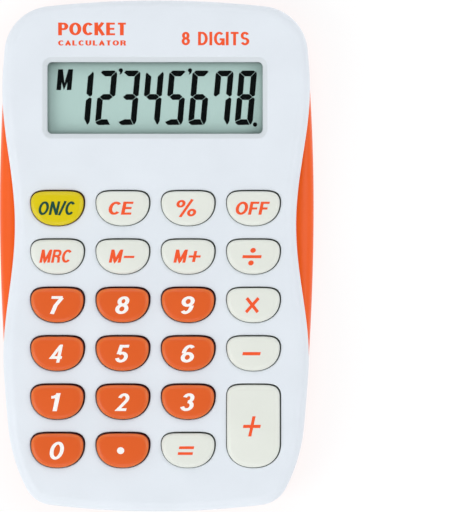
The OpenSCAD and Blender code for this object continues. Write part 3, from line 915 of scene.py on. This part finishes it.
def finish_for(name):
    """The material of that name, made the first time that it is asked for."""
    made = bpy.data.materials.get("finish_" + name)
    if made:
        return made
    scene = bpy.context.scene
    tints = scene.calculator_colours
    makers = {
        # The cover's plastic, with painted shade on the bevel round the window and on the walls below the
        # face near it.
        "white_shell": lambda: moulded(
            name, tints.white, 0.42, painted_light_bands=((10.49, 0.12, tints.bevel),), within=(23, 9),
        ),
        "orange_shell": lambda: moulded(name, tints.orange, 0.36),
        # The key plastics: a painted highlight on the orange keys' rounding, and painted shade on every key's
        # wall in the gap round it.
        "key_orange": lambda: key_plastic(name, tints.key_orange, tints.orange_rim_highlight, (0.17, 0.005, 0.0), 11.1),
        "key_cream": lambda: key_plastic(name, tints.key_cream, tints.key_cream, (0.2, 0.22, 0.18)),
        "key_yellow": lambda: key_plastic(
            name, tints.key_yellow, tints.key_yellow, (0.36, 0.17, 0.004), 11.0,
        ),
        "ink_orange": lambda: printed(name, tints.ink_orange),
        "ink_white": lambda: printed(name, tints.ink_white),
        "ink_green": lambda: printed(name, tints.ink_green),
        "display_black": lambda: printed(name, (0.0015, 0.0025, 0.0025), 0.0),
        "display_film": lambda: display_film(tints, scene.calculator_display),
        "clear_plastic": lambda: sheet_plastic(name, (0.04, 0.05, 0.05), 0.06, 0.04),
        "black_adhesive": lambda: rubber(name, (0.02, 0.02, 0.02), 0.7),
        "black_plastic": lambda: moulded(name, (0.022, 0.022, 0.024), 0.45),
        "display_glass": lambda: sheet_plastic(name, (0.62, 0.7, 0.68), 0.08),
        "reflector_film": lambda: sheet_plastic(name, (0.6, 0.63, 0.6), 0.4, smear=0.2),
        "pink_rubber": lambda: rubber(name, (0.72, 0.25, 0.3)),
        "board": board_finish,
        "black_resin": lambda: speckled(name, (0.012, 0.012, 0.013), (0.05, 0.05, 0.05), 0.35),
        "capacitor_body": lambda: speckled(name, (0.38, 0.22, 0.1), (0.55, 0.38, 0.2), 0.5),
        "resistor_body": lambda: speckled(name, (0.02, 0.02, 0.03), (0.12, 0.12, 0.14), 0.4),
        "grey_rubber": lambda: rubber(name, (0.2, 0.21, 0.21)),
        "carbon_rubber": lambda: rubber(name, (0.015, 0.015, 0.016), 0.75),
        "cell_steel": lambda: metal(name, (0.62, 0.62, 0.6), 0.24, (6, 0.4, 1)),
        "contact_brass": lambda: metal(name, (0.72, 0.5, 0.2), 0.28, (8, 0.4, 1)),
        "screw_steel": lambda: metal(name, (0.5, 0.5, 0.52), 0.3),
        "stage_paper": floor_finish,
    }
    material = makers[name]()
    material.name = "finish_" + name
    return material


# ---------------------------------------------------------------- lettering

def stroke_line(stroke, step):
    """Points along a stroke at most step apart: its own points and samples of its arcs. Then whether it
    closes. Points nearer to each other than a fiftieth of step count as one."""
    points = []
    for part in stroke:
        if len(part) == 2:
            points.append([part])
        else:
            cx, cy, rx, ry, start, end = part
            angle = np.radians(np.linspace(start, end, max(3, int(abs(end - start) / 9))))
            points.append(np.column_stack([cx + rx * np.cos(angle), cy + ry * np.sin(angle)]))
    line = np.concatenate([np.array(p, dtype=float) for p in points])
    same = step / 50
    closed = np.linalg.norm(line[0] - line[-1]) < same
    run = distances(line)
    at = np.union1d(run, np.linspace(0, run[-1], int(run[-1] / step) + 2))
    at = at[np.concatenate([[True], np.diff(at) > same])]
    return points_at(line, run, at), closed


def ribbon(line, closed, stem, bar):
    """Four-sided polygons along a stroke, between the line moved both ways along its normals, by half of
    stem sideways and half of bar up and down, and further at a corner by one over the cosine of half its
    turn, at most twice."""
    run = np.diff(np.vstack([line, line[1:2]]) if closed else line, axis=0)
    run /= np.linalg.norm(run, axis=1)[:, None]
    normal = np.column_stack([-run[:, 1], run[:, 0]])
    before = np.vstack([normal[-2:-1], normal[:-1]] if closed else [normal[:1], normal])
    after = normal if closed else np.vstack([normal, normal[-1:]])
    between = before + after
    between /= np.linalg.norm(between, axis=1)[:, None]
    reach = 1 / np.maximum(0.5, np.sum(between * after, axis=1))[:, None]
    offset = between * reach * np.array([stem, bar]) / 2
    left, right = line + offset, line - offset
    return list(np.stack([right[:-1], right[1:], left[1:], left[:-1]], axis=1))


def word_shapes(text, cap, stem, bar, gap, step):
    """Outlines of a word's strokes as polygons on an upright line of capitals of the given height."""
    shapes = []
    at = 0.0
    for letter in text:
        width, strokes = STROKES[letter]
        for stroke in strokes:
            if len(stroke[0]) == 3:
                x, y, r = stroke[0]
                shapes.append(circle((at + x * cap, y * cap), r * cap, 24))
                continue
            line, closed = stroke_line(stroke, step / cap)
            shapes += ribbon(line * cap + np.array([at, 0]), closed, stem, bar)
        at += (width + gap) * cap
    return shapes


def fitted(shapes, width, slant):
    """Shapes made width wide in all and leaned over by slant, with their middle at the origin."""
    every = np.concatenate(shapes)
    upright = np.ptp(every[:, 0])
    leaned = np.ptp(every[:, 0] + slant * every[:, 1])
    wide = (width - (leaned - upright)) / upright
    matrix = np.array([[wide, 0], [slant, 1]])
    every = every @ matrix
    centre = (every.min(axis=0) + every.max(axis=0)) / 2
    return [shape @ matrix - centre for shape in shapes]


def signed_area(triangles):
    """Twice the area of each triangle, below zero where it runs clockwise: the cross of two sides."""
    one, two = triangles[:, 1] - triangles[:, 0], triangles[:, 2] - triangles[:, 0]
    return one[:, 0] * two[:, 1] - one[:, 1] * two[:, 0]


def merged(shapes):
    """Overlapping polygons as one set of triangles. Each polygon is cut into a fan from its first point,
    every triangle of it is turned anticlockwise, and the overlaps are cut at their crossings."""
    fans = [np.stack([np.broadcast_to(s[0], s[2:].shape), s[1:-1], s[2:]], axis=1) for s in shapes]
    fans = np.concatenate(fans) / MM
    area = signed_area(fans)
    fans[area < 0] = fans[area < 0][:, ::-1]
    fans = fans[np.abs(area) > 1e-5]
    points = fans.reshape(-1, 2)
    faces = np.arange(len(points)).reshape(-1, 3).tolist()
    result = delaunay_2d_cdt(points.tolist(), [], faces, 0, 1e-5)
    triangles = np.array([face for face, source in zip(result[2], result[5]) if source])
    return np.array([tuple(p) for p in result[0]]) * MM, triangles


def raised(shapes, ground, rise):
    """Overlapping polygons as one raised surface: their triangles at the ground's height plus the first
    of rise, the same turned over at its height plus the second, and a wall under each edge that only one
    triangle has."""
    surface = Surface()
    points, triangles = merged(shapes)
    used, places = np.unique(triangles, return_inverse=True)
    points = points[used]
    triangles = places.reshape(-1, 3)
    turned = signed_area(points[triangles]) < 0
    triangles[turned] = triangles[turned][:, ::-1]
    high, low = (surface.ring(points, ground(points) + move) for move in rise)
    edges = np.concatenate([triangles[:, [i, (i + 1) % 3]] for i in range(3)])
    code = edges[:, 0] * len(points) + edges[:, 1]
    alone = edges[~np.isin(code, edges[:, 1] * len(points) + edges[:, 0])]
    surface.faces += high[triangles].tolist()
    surface.faces += low[triangles[:, ::-1]].tolist()
    surface.faces += np.column_stack([low[alone], high[alone[:, ::-1]]]).tolist()
    return surface


def flat(z):
    """A level height for every point."""
    return lambda points: np.full(len(points), z)


# ---------------------------------------------------------------- shells

def key_place(name):
    """Middle of a key's aperture, and how much longer it is than a figure key's."""
    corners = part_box("key_" + name)
    return middle(corners) + KEY_SHIFT, np.ptp(corners, axis=0)[1] - KEY_LENGTH


def cover_surface(body, keys, display):
    """Front cover: the outline carried up the wall and over a quarter circle, flat caps for the face and
    its underside round the apertures, and each aperture's rim as a profile carried round it."""
    shell = Surface()
    roof = body.face_z - body.wall
    turn_z = body.face_z - body.face_round
    outside = [
        shell.ring(body_ring(body, SEAM, 1), body.parting_z),
        shell.ring(body_ring(body, 0, 1), body.parting_z + SEAM),
    ]
    outside += [
        shell.ring(body_ring(body, body.face_round * (1 - c), 1), turn_z + body.face_round * s)
        for s, c in quarter(14)
    ]
    outside.append(shell.ring(body_ring(body, body.face_round + HOLD, 1), body.face_z))
    shell.strip(*outside)
    lip = [(keys.lip + HOLD, body.face_z)]
    lip += [(keys.lip * (1 - s), body.face_z - keys.lip * (1 - c)) for s, c in quarter(6)]
    lip.append((0, roof))
    rims = []
    for name, *_ in KEYS:
        place, stretch = key_place(name)
        rims.append(shell.profile(key_outline(keys, stretch) + place, lip))
    edge = rounded_box(display.half_w, display.half_h, display.corner) + WINDOW
    wide, deep = display.bevel_w, display.bevel_h
    steps = [(wide * move, body.face_z - deep * drop) for move, drop in BEVEL_PROFILE] + [(0, roof)]
    rims.append(shell.profile(edge, steps))
    inside = [shell.ring(body_ring(body, body.wall, 1), z) for z in (roof, body.parting_z)]
    shell.strip(*inside, outside[0])
    shell.cap(outside[-1], [rim[0] for rim in rims])
    shell.cap(inside[0], [rim[-1] for rim in rims], up=False)
    for places, outer, bore, foot in COVER_BOSSES:
        for centre in places:
            shell.tube(circle(centre, outer), circle(centre, bore), foot, roof + SINK)
    return shell


def case_rings(body):
    """Outside of the rear case: insets, pinches and heights of a quarter circle up from the back, then of
    a quarter ellipse that draws in to the cover."""
    low = body.parting_z - body.shoulder_h
    rings = [(body.back_round + HOLD, 0, 0)]
    rings += [(body.back_round * (1 - s), 0, body.back_round * (1 - c)) for s, c in quarter(12)]
    rings += [(SEAM * (1 - c), 1 - c, low + body.shoulder_h * s) for s, c in quarter(14)]
    return rings


def case_surface(body):
    """Rear case: its outside rings, then its inner wall down to the floor, open at the top."""
    shell = Surface()
    low = body.parting_z - body.shoulder_h
    inner = (
        (body.wall, 1, body.parting_z), (body.wall, 0, low),
        (body.wall, 0, INNER_TURN), (body.wall + INNER_SLOPE, 0, FLOOR),
    )
    rings = [shell.ring(body_ring(body, inset, pinch), z) for inset, pinch, z in (*case_rings(body), *inner)]
    shell.strip(*rings)
    shell.cap(rings[0], up=False)
    shell.cap(rings[-1])
    outer, bore, foot, top = CASE_BOSS
    for centre in CASE_SCREWS:
        shell.tube(circle(centre, outer), circle(centre, bore), foot, top)
    return shell


def pin_tool(centre, radius, low, high):
    """A round pin to cut with."""
    surface = Surface()
    surface.slab(circle(centre, radius, 40), low, high)
    return scratch(surface)


def mat_outline(low, high):
    """Outline of the keypad mat: a rectangle whose two near corners are cut at 45 degrees."""
    return np.array([
        (low[0], high[1]), (low[0], low[1] + MAT_CUT), (low[0] + MAT_CUT, low[1]),
        (high[0] - MAT_CUT, low[1]), (high[0], low[1] + MAT_CUT), (high[0], high[1]),
    ])


def door_box(gap):
    """The space of the battery door, grown by gap."""
    side = DOOR_HALF_W + gap
    return box_tool(-side, side, DOOR_Y - gap, BEYOND, BELOW, DOOR_LIP + gap)


def key_surface(keys, name):
    """A key: a flange, a wall that leans in, a quarter ellipse over its edge, and a crown that is a
    parabola along and across. Gives the surface and the crown's height as a function of points."""
    foot, top = (corner[2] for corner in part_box("key_" + name))
    place, stretch = key_place(name)
    place = place + np.array(keys.slack)
    line = key_outline(keys, stretch)
    radii = np.array([keys.crown_x, keys.crown_y + CROWN_FLATTER * stretch])

    def crown(points):
        """The top less the squares of the distances across and along, each over twice its radius."""
        across, along = ((np.asarray(points) - place) ** 2 / (2 * radii)).T
        return top - CROWN_DROP - across - along

    shell = Surface()
    grow = FLANGE_W - keys.gap
    under, over = FLANGE_Z
    steps = [(-FOOT_IN[0], foot), (-FOOT_IN[1], under), (grow, under), (grow, over), (-keys.gap, over)]
    rings = shell.profile(line + place, steps)
    inset = keys.gap + keys.draft
    for s, c in quarter(9):
        ring = grown(line, -inset - keys.edge_w * (1 - c)) + place
        rings.append(shell.ring(ring, crown(ring) - keys.edge_h * (1 - s)))
    rim = grown(line, -inset - keys.edge_w - HOLD)
    for share in CROWN_SHARES:
        ring = rim * share + place
        rings.append(shell.ring(ring, crown(ring)))
    shell.strip(*rings)
    shell.disc(rings[0], up=False)
    last = rings[-1]
    peak = shell.ring(place[None], crown(place[None]))[0]
    shell.faces += np.column_stack([last, np.roll(last, -1), np.full(len(last), peak)]).tolist()
    return shell, crown


# ---------------------------------------------------------------- display figures

def figure_bars(display):
    """The seven bars of a figure as polygons, with their ends cut at an angle and hairline gaps."""
    w, h, t = (size / MM for size in (display.digit_w, display.digit_h, display.bar))
    m, g = h * MIDLINE, HAIRLINE
    return {
        "a": [(0.2 * t + g, h - 0.35 * t), (t + g, h - t), (w - t - g, h - t),
              (w - 0.25 * t - g, h - 0.2 * t), (w - 0.6 * t, h), (0.55 * t, h)],
        "f": [(0.2 * t - g, h - 0.35 * t), (0, h - 0.6 * t), (0, m + 0.3 * t), (0.35 * t, m + 1.2 * g),
              (t, m + t / 2 + 1.3 * g), (t, h - t - 1.3 * g)],
        "b": [(w - t, h - t - 1.3 * g), (w - t, m + t / 2 + 1.3 * g), (w - 0.35 * t, m + 1.2 * g),
              (w, m + 0.3 * t), (w, h - 0.7 * t), (w - 0.05 * t, h - 0.45 * t),
              (w - 0.25 * t + g, h - 0.2 * t)],
        "g": [(0.35 * t + 1.5 * g, m), (t, m - t / 2), (w - t, m - t / 2), (w - 0.35 * t - 1.5 * g, m),
              (w - t, m + t / 2), (t, m + t / 2)],
        "e": [(0.35 * t, m - 1.2 * g), (0, m - 0.3 * t), (0, 0.9 * t), (0.05 * t, 0.6 * t + g),
              (t, t + 1.3 * g), (t, m - t / 2 - 1.3 * g)],
        "c": [(w - 0.35 * t, m - 1.2 * g), (w - t, m - t / 2 - 1.3 * g), (w - t, t + 1.3 * g),
              (w - 0.45 * t + g, 0.05 * t), (w - 0.2 * t, 0.25 * t), (w, 0.75 * t), (w, m - 0.3 * t)],
        "d": [(0.05 * t, 0.6 * t - g), (0.2 * t, 0.3 * t), (0.6 * t, 0), (w - 0.45 * t - g, 0.05 * t),
              (w - t - g, t), (t + g, t)],
    }


def lean(points, slant):
    """Points moved sideways by slant times their height."""
    points = np.asarray(points, dtype=float)
    return points + points[:, 1:] * np.array([slant, 0])


def figures_surface(display):
    """The figures on the display: thin raised bars, a point, two marks and a letter."""
    bars = figure_bars(display)
    pitch = display.digit_pitch / MM
    foot = np.array([0, WINDOW[1] / MM - FIGURE_FOOT])
    shapes = []
    for place, figure in enumerate(SHOWN):
        origin = foot + (FIGURE_X - (len(SHOWN) - 1 - place) * pitch, 0)
        shapes += [lean(bars[bar], FIGURE_SLANT) + origin for bar in BARS_LIT[figure]]
    shapes.append(circle(foot + POINT, POINT_R, 24))
    for x in MARKS_X:
        top = foot + (x, MARK_TOP)
        shapes += [circle(top, MARK_R, 24), np.array(MARK_TAIL) + top]
    for stroke in LETTER:
        for quad in ribbon(np.array(stroke) * LETTER_SIZE + LETTER_INSET, False, *LETTER_STROKES):
            quad[:, 1] = np.clip(quad[:, 1], 0, LETTER_SIZE[1])
            shapes.append(lean(quad, FIGURE_SLANT) + foot + LETTER_PLACE)
    return raised([shape * MM for shape in shapes], flat(LCD_TOP), FIGURE_RISE)


# ---------------------------------------------------------------- operators

def settings(context):
    """The scene's sizes for the body, keys and display."""
    scene = context.scene
    return scene.calculator_body, scene.calculator_keys, scene.calculator_display


class CALCULATOR_OT_front_cover(bpy.types.Operator):
    """Build the front cover with its key and window apertures"""
    bl_idname = "calculator.front_cover"
    bl_label = "Front cover"

    def execute(self, context):
        body, keys, display = settings(context)
        shell = cover_surface(body, keys, display)
        shell.piece("cover_shell", finish_for("white_shell"), "case", "white_shell", ("front_cover",), 50)
        return {"FINISHED"}


class CALCULATOR_OT_rear_case(bpy.types.Operator):
    """Build the rear case and carve the door's space and the screw holes out of it"""
    bl_idname = "calculator.rear_case"
    bl_label = "Rear case"

    def execute(self, context):
        body = context.scene.calculator_body
        grooves = box_tool(-GROOVE_HALF_W, GROOVE_HALF_W, DOOR_Y - DOOR_GAP, BEYOND, *GROOVE_Z)
        tools = [door_box(DOOR_GAP), grooves]
        for centre in CASE_SCREWS:
            tools += [pin_tool(centre, radius, BELOW, top) for radius, top in SCREW_HOLES]
        mesh = carved(scratch(case_surface(body)), [("DIFFERENCE", tool) for tool in tools])
        finished("case_shell", mesh, finish_for("orange_shell"), "case", ("rear_case",))
        return {"FINISHED"}


class CALCULATOR_OT_battery_well(bpy.types.Operator):
    """Build the block that holds the cell, with its round well"""
    bl_idname = "calculator.battery_well"
    bl_label = "Battery well"

    def execute(self, context):
        block = box_tool(*WELL_BLOCK)
        well = pin_tool(CELL, WELL_R, 0, ABOVE)
        slot = box_tool(*WELL_SLOT, CELL[1] - WELL_SLOT_HALF_L, CELL[1] + WELL_SLOT_HALF_L, FLOOR, ABOVE)
        mesh = carved(block, [("DIFFERENCE", well), ("DIFFERENCE", slot)])
        finished("battery_well", mesh, finish_for("orange_shell"), "case")
        return {"FINISHED"}


class CALCULATOR_OT_battery_door(bpy.types.Operator):
    """Build the sliding door out of the rear case's own outside shape"""
    bl_idname = "calculator.battery_door"
    bl_label = "Battery door"

    def execute(self, context):
        body = context.scene.calculator_body
        blank = Surface()
        rings = [blank.ring(body_ring(body, inset, pinch), z) for inset, pinch, z in case_rings(body)]
        blank.strip(*rings)
        blank.cap(rings[0], up=False)
        blank.cap(rings[-1])
        end = body.half_l - body.wall - DOOR_LIP_SHORT
        hollow = box_tool(-BEYOND, BEYOND, 0, end, DOOR_T, BEYOND)
        tools = [("INTERSECT", door_box(0)), ("DIFFERENCE", hollow)]
        for y in GRIPS_Y:
            sides = (-GRIP_HALF_W, GRIP_HALF_W, y - GRIP_HALF_L, y + GRIP_HALF_L)
            tools.append(("DIFFERENCE", box_tool(*sides, BELOW, GRIP_DEPTH)))
        for edge in (-DOOR_HALF_W, DOOR_HALF_W):
            sides = (edge - RAIL_HALF_W, edge + RAIL_HALF_W, DOOR_Y, body.half_l - RAIL_SHORT)
            tools.append(("UNION", box_tool(*sides, *RAIL_Z)))
        mesh = carved(scratch(blank), tools)
        orange = finish_for("orange_shell")
        finished("door_panel", mesh, orange, "battery_door", ("battery_door",))
        return {"FINISHED"}


class CALCULATOR_OT_case_screws(bpy.types.Operator):
    """Build the four case screws with domed heads and cross recesses"""
    bl_idname = "calculator.case_screws"
    bl_label = "Case screws"

    def execute(self, context):
        screws = Surface()
        crosses = []
        for x, y in CASE_SCREWS:
            screws.turned((x, y), SCREW_PROFILE)
            for wide, tall in ((CROSS_LONG, CROSS_SHORT), (CROSS_SHORT, CROSS_LONG)):
                cross = box_tool(x - wide, x + wide, y - tall, y + tall, BELOW, CROSS_TOP)
                crosses.append(("DIFFERENCE", cross))
        mesh = carved(scratch(screws), crosses)
        finished("screws_case", mesh, finish_for("screw_steel"), "case", ("case_screws",))
        return {"FINISHED"}


class CALCULATOR_OT_keys(bpy.types.Operator):
    """Build the keys, each with its printed legend"""
    bl_idname = "calculator.keys"
    bl_label = "Keys and legends"

    def execute(self, context):
        keys = context.scene.calculator_keys
        for name, text, cap, width, shift in KEYS:
            ink, plastic, slot = key_finishes(name)
            node = "key_" + name
            shell, crown = key_surface(keys, name)
            shell.piece("cap_" + name, finish_for(plastic), node, slot, (node,), 50)
            place, _ = key_place(name)
            stem, bar, slope = SYMBOLS.get(text, (*(np.array(STROKE[text in DIGITS]) * cap), LEAN))
            slope = math.tan(math.radians(slope))
            shapes = word_shapes(text, cap, stem, bar, LEGEND_GAP, LEGEND_STEP)
            centre = place + (np.array([shift, 0]) + LEGEND_SHIFT) * MM
            shapes = [shape * MM + centre for shape in fitted(shapes, width, slope)]
            raised(shapes, crown, LEGEND_RISE).piece("legend_" + name, finish_for(ink), node, slot)
        return {"FINISHED"}


class CALCULATOR_OT_keypad_mat(bpy.types.Operator):
    """Build the rubber sheet, and for each key a dome and the carbon pill inside it"""
    bl_idname = "calculator.keypad_mat"
    bl_label = "Keypad mat"

    def execute(self, context):
        low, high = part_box("keypad_mat")
        pill_low, pill_high = (corner[2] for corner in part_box("carbon_pills"))
        sheet_z = low[2] + MAT_T
        grey, black = finish_for("grey_rubber"), finish_for("carbon_rubber")
        places = {name: key_place(name)[0] for name, *_ in KEYS}
        sheet = Surface()
        holes = [circle(place, DOME_HOLE) for place in places.values()]
        sheet.slab(mat_outline(low, high), low[2], sheet_z, holes)
        sheet.piece("mat_sheet", grey, "case", "grey_rubber", ("keypad_mat",))
        for name, place in places.items():
            dome = Surface()
            dome.turned(place, DOME_PROFILE)
            piece = dome.piece("dome_" + name, grey, None, "grey_rubber")
            "key_" + name
            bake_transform(piece)
            pill = Surface()
            pill.slab(circle(place, PILL_R), pill_low, pill_high)
            pill.piece("pill_" + name, black, "key_" + name, "carbon_rubber", ("carbon_pills",))
        return {"FINISHED"}


class CALCULATOR_OT_face_print(bpy.types.Operator):
    """Print the words above the display"""
    bl_idname = "calculator.face_print"
    bl_label = "Face print"

    def execute(self, context):
        face_z = context.scene.calculator_body.face_z
        for number, (text, cap, width, place, stem, bar, gap) in enumerate(FACE_WORDS):
            shapes = word_shapes(text, cap, stem * cap, bar * cap, gap, FACE_STEP)
            shapes = [shape * MM + np.array(place) * MM for shape in fitted(shapes, width, 0.0)]
            words = raised(shapes, flat(face_z), FACE_RISE)
            words.piece(f"face_print_{number}", finish_for("ink_orange"), "case", "white_shell")
        return {"FINISHED"}


class CALCULATOR_OT_display(bpy.types.Operator):
    """Show figures on the display"""
    bl_idname = "calculator.display"
    bl_label = "Display figures"

    def execute(self, context):
        surface = figures_surface(context.scene.calculator_display)
        surface.piece("display_figures", finish_for("display_black"), "case", "polariser_film")
        return {"FINISHED"}


class CALCULATOR_OT_inner_parts(bpy.types.Operator):
    """Give the parts inside the case their materials"""
    bl_idname = "calculator.inner_parts"
    bl_label = "Inner parts"

    def execute(self, context):
        for node, name in INNER_FINISHES.items():
            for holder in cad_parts[node].material_slots:
                holder.material = finish_for(name)
        return {"FINISHED"}


class CALCULATOR_OT_stage(bpy.types.Operator):
    """Set up the floor, the lights and the camera"""
    bl_idname = "calculator.stage"
    bl_label = "Stage"

    def execute(self, context):
        scene = context.scene
        stage = scene.calculator_stage
        paper = Surface()
        paper.slab(rounded_box(*STAGE_FLOOR), *STAGE_Z)
        floor = added("stage_floor", paper.mesh("stage_floor"))
        floor.data.materials.append(finish_for("stage_paper"))

        world = bpy.data.worlds.new("soft_room")
        world.use_nodes = True
        nodes, links = world.node_tree.nodes, world.node_tree.links
        sky = nodes.new("ShaderNodeTexCoord")
        height = nodes.new("ShaderNodeSeparateXYZ")
        glow = nodes.new("ShaderNodeMapRange")
        for limit, value in zip(("From Min", "From Max", "To Min", "To Max"), (*CHANGE, HORIZON, ZENITH)):
            glow.inputs[limit].default_value = value
        links.new(sky.outputs["Generated"], height.inputs[0])
        links.new(height.outputs["Z"], glow.inputs["Value"])
        links.new(glow.outputs["Result"], nodes["Background"].inputs["Strength"])
        nodes["Background"].inputs["Color"].default_value = ROOM_TINT
        scene.world = world
        for name, place, size, power, tint in LIGHTS:
            light = bpy.data.lights.new(name, "AREA")
            light.size = size
            light.energy = power
            light.color = tint
            lamp = added(name, light)
            lamp.location = place
            lamp.rotation_euler = (-Vector(place)).to_track_quat("-Z", "Y").to_euler()

        eye = bpy.data.cameras.new("camera")
        eye.lens = stage.lens
        eye.sensor_fit = "VERTICAL"
        eye.sensor_height = SENSOR
        eye.clip_start = CLIP
        scene.camera = added("camera", eye)
        away = stage.view_h * stage.lens / SENSOR
        scene.camera.location = (stage.view_x, 0, scene.calculator_body.face_z + away)
        scene.view_settings.view_transform = "Standard"
        return {"FINISHED"}


class CALCULATOR_PT_build(bpy.types.Panel):
    """Lists the pieces of the calculator"""
    bl_idname = "CALCULATOR_PT_build"
    bl_label = "Calculator"
    bl_space_type = "VIEW_3D"
    bl_region_type = "UI"
    bl_category = "Calculator"

    def draw(self, context):
        for operator in OPERATORS:
            self.layout.operator(operator.bl_idname)
        for name in GROUPS:
            group = getattr(context.scene, name)
            box = self.layout.box()
            for setting in group.__annotations__:
                box.prop(group, setting)


def key_finishes(name):
    """Ink, plastic and slot of a key: orange for the figures and the point, yellow for the on key."""
    if name in DIGITS or name == "point":
        return "ink_white", "key_orange", "orange_key"
    if name == "on":
        return "ink_green", "key_yellow", "yellow_key"
    return "ink_orange", "key_cream", "cream_key"


OPERATORS = (
    CALCULATOR_OT_front_cover,
    CALCULATOR_OT_rear_case,
    CALCULATOR_OT_battery_well,
    CALCULATOR_OT_battery_door,
    CALCULATOR_OT_case_screws,
    CALCULATOR_OT_keys,
    CALCULATOR_OT_keypad_mat,
    CALCULATOR_OT_face_print,
    CALCULATOR_OT_display,
    CALCULATOR_OT_inner_parts,
    CALCULATOR_OT_stage,
)
GROUPS = {
    "calculator_body": CalculatorBody,
    "calculator_keys": CalculatorKeys,
    "calculator_display": CalculatorDisplay,
    "calculator_colours": CalculatorColours,
    "calculator_stage": CalculatorStage,
}


def register():
    """Adds the settings, the operators and the panel."""
    for name, group in GROUPS.items():
        bpy.utils.register_class(group)
        setattr(bpy.types.Scene, name, PointerProperty(type=group))
    for operator in OPERATORS:
        bpy.utils.register_class(operator)
    bpy.utils.register_class(CALCULATOR_PT_build)


def unregister():
    """Takes the panel, the operators and the settings out again."""
    bpy.utils.unregister_class(CALCULATOR_PT_build)
    for operator in reversed(OPERATORS):
        bpy.utils.unregister_class(operator)
    for name, group in GROUPS.items():
        delattr(bpy.types.Scene, name)
        bpy.utils.unregister_class(group)


def main():
    """Builds every piece."""
    register()
    for operator in OPERATORS:
        family, name = operator.bl_idname.split(".")
        getattr(getattr(bpy.ops, family), name)()


if __name__ == "__main__":
    main()
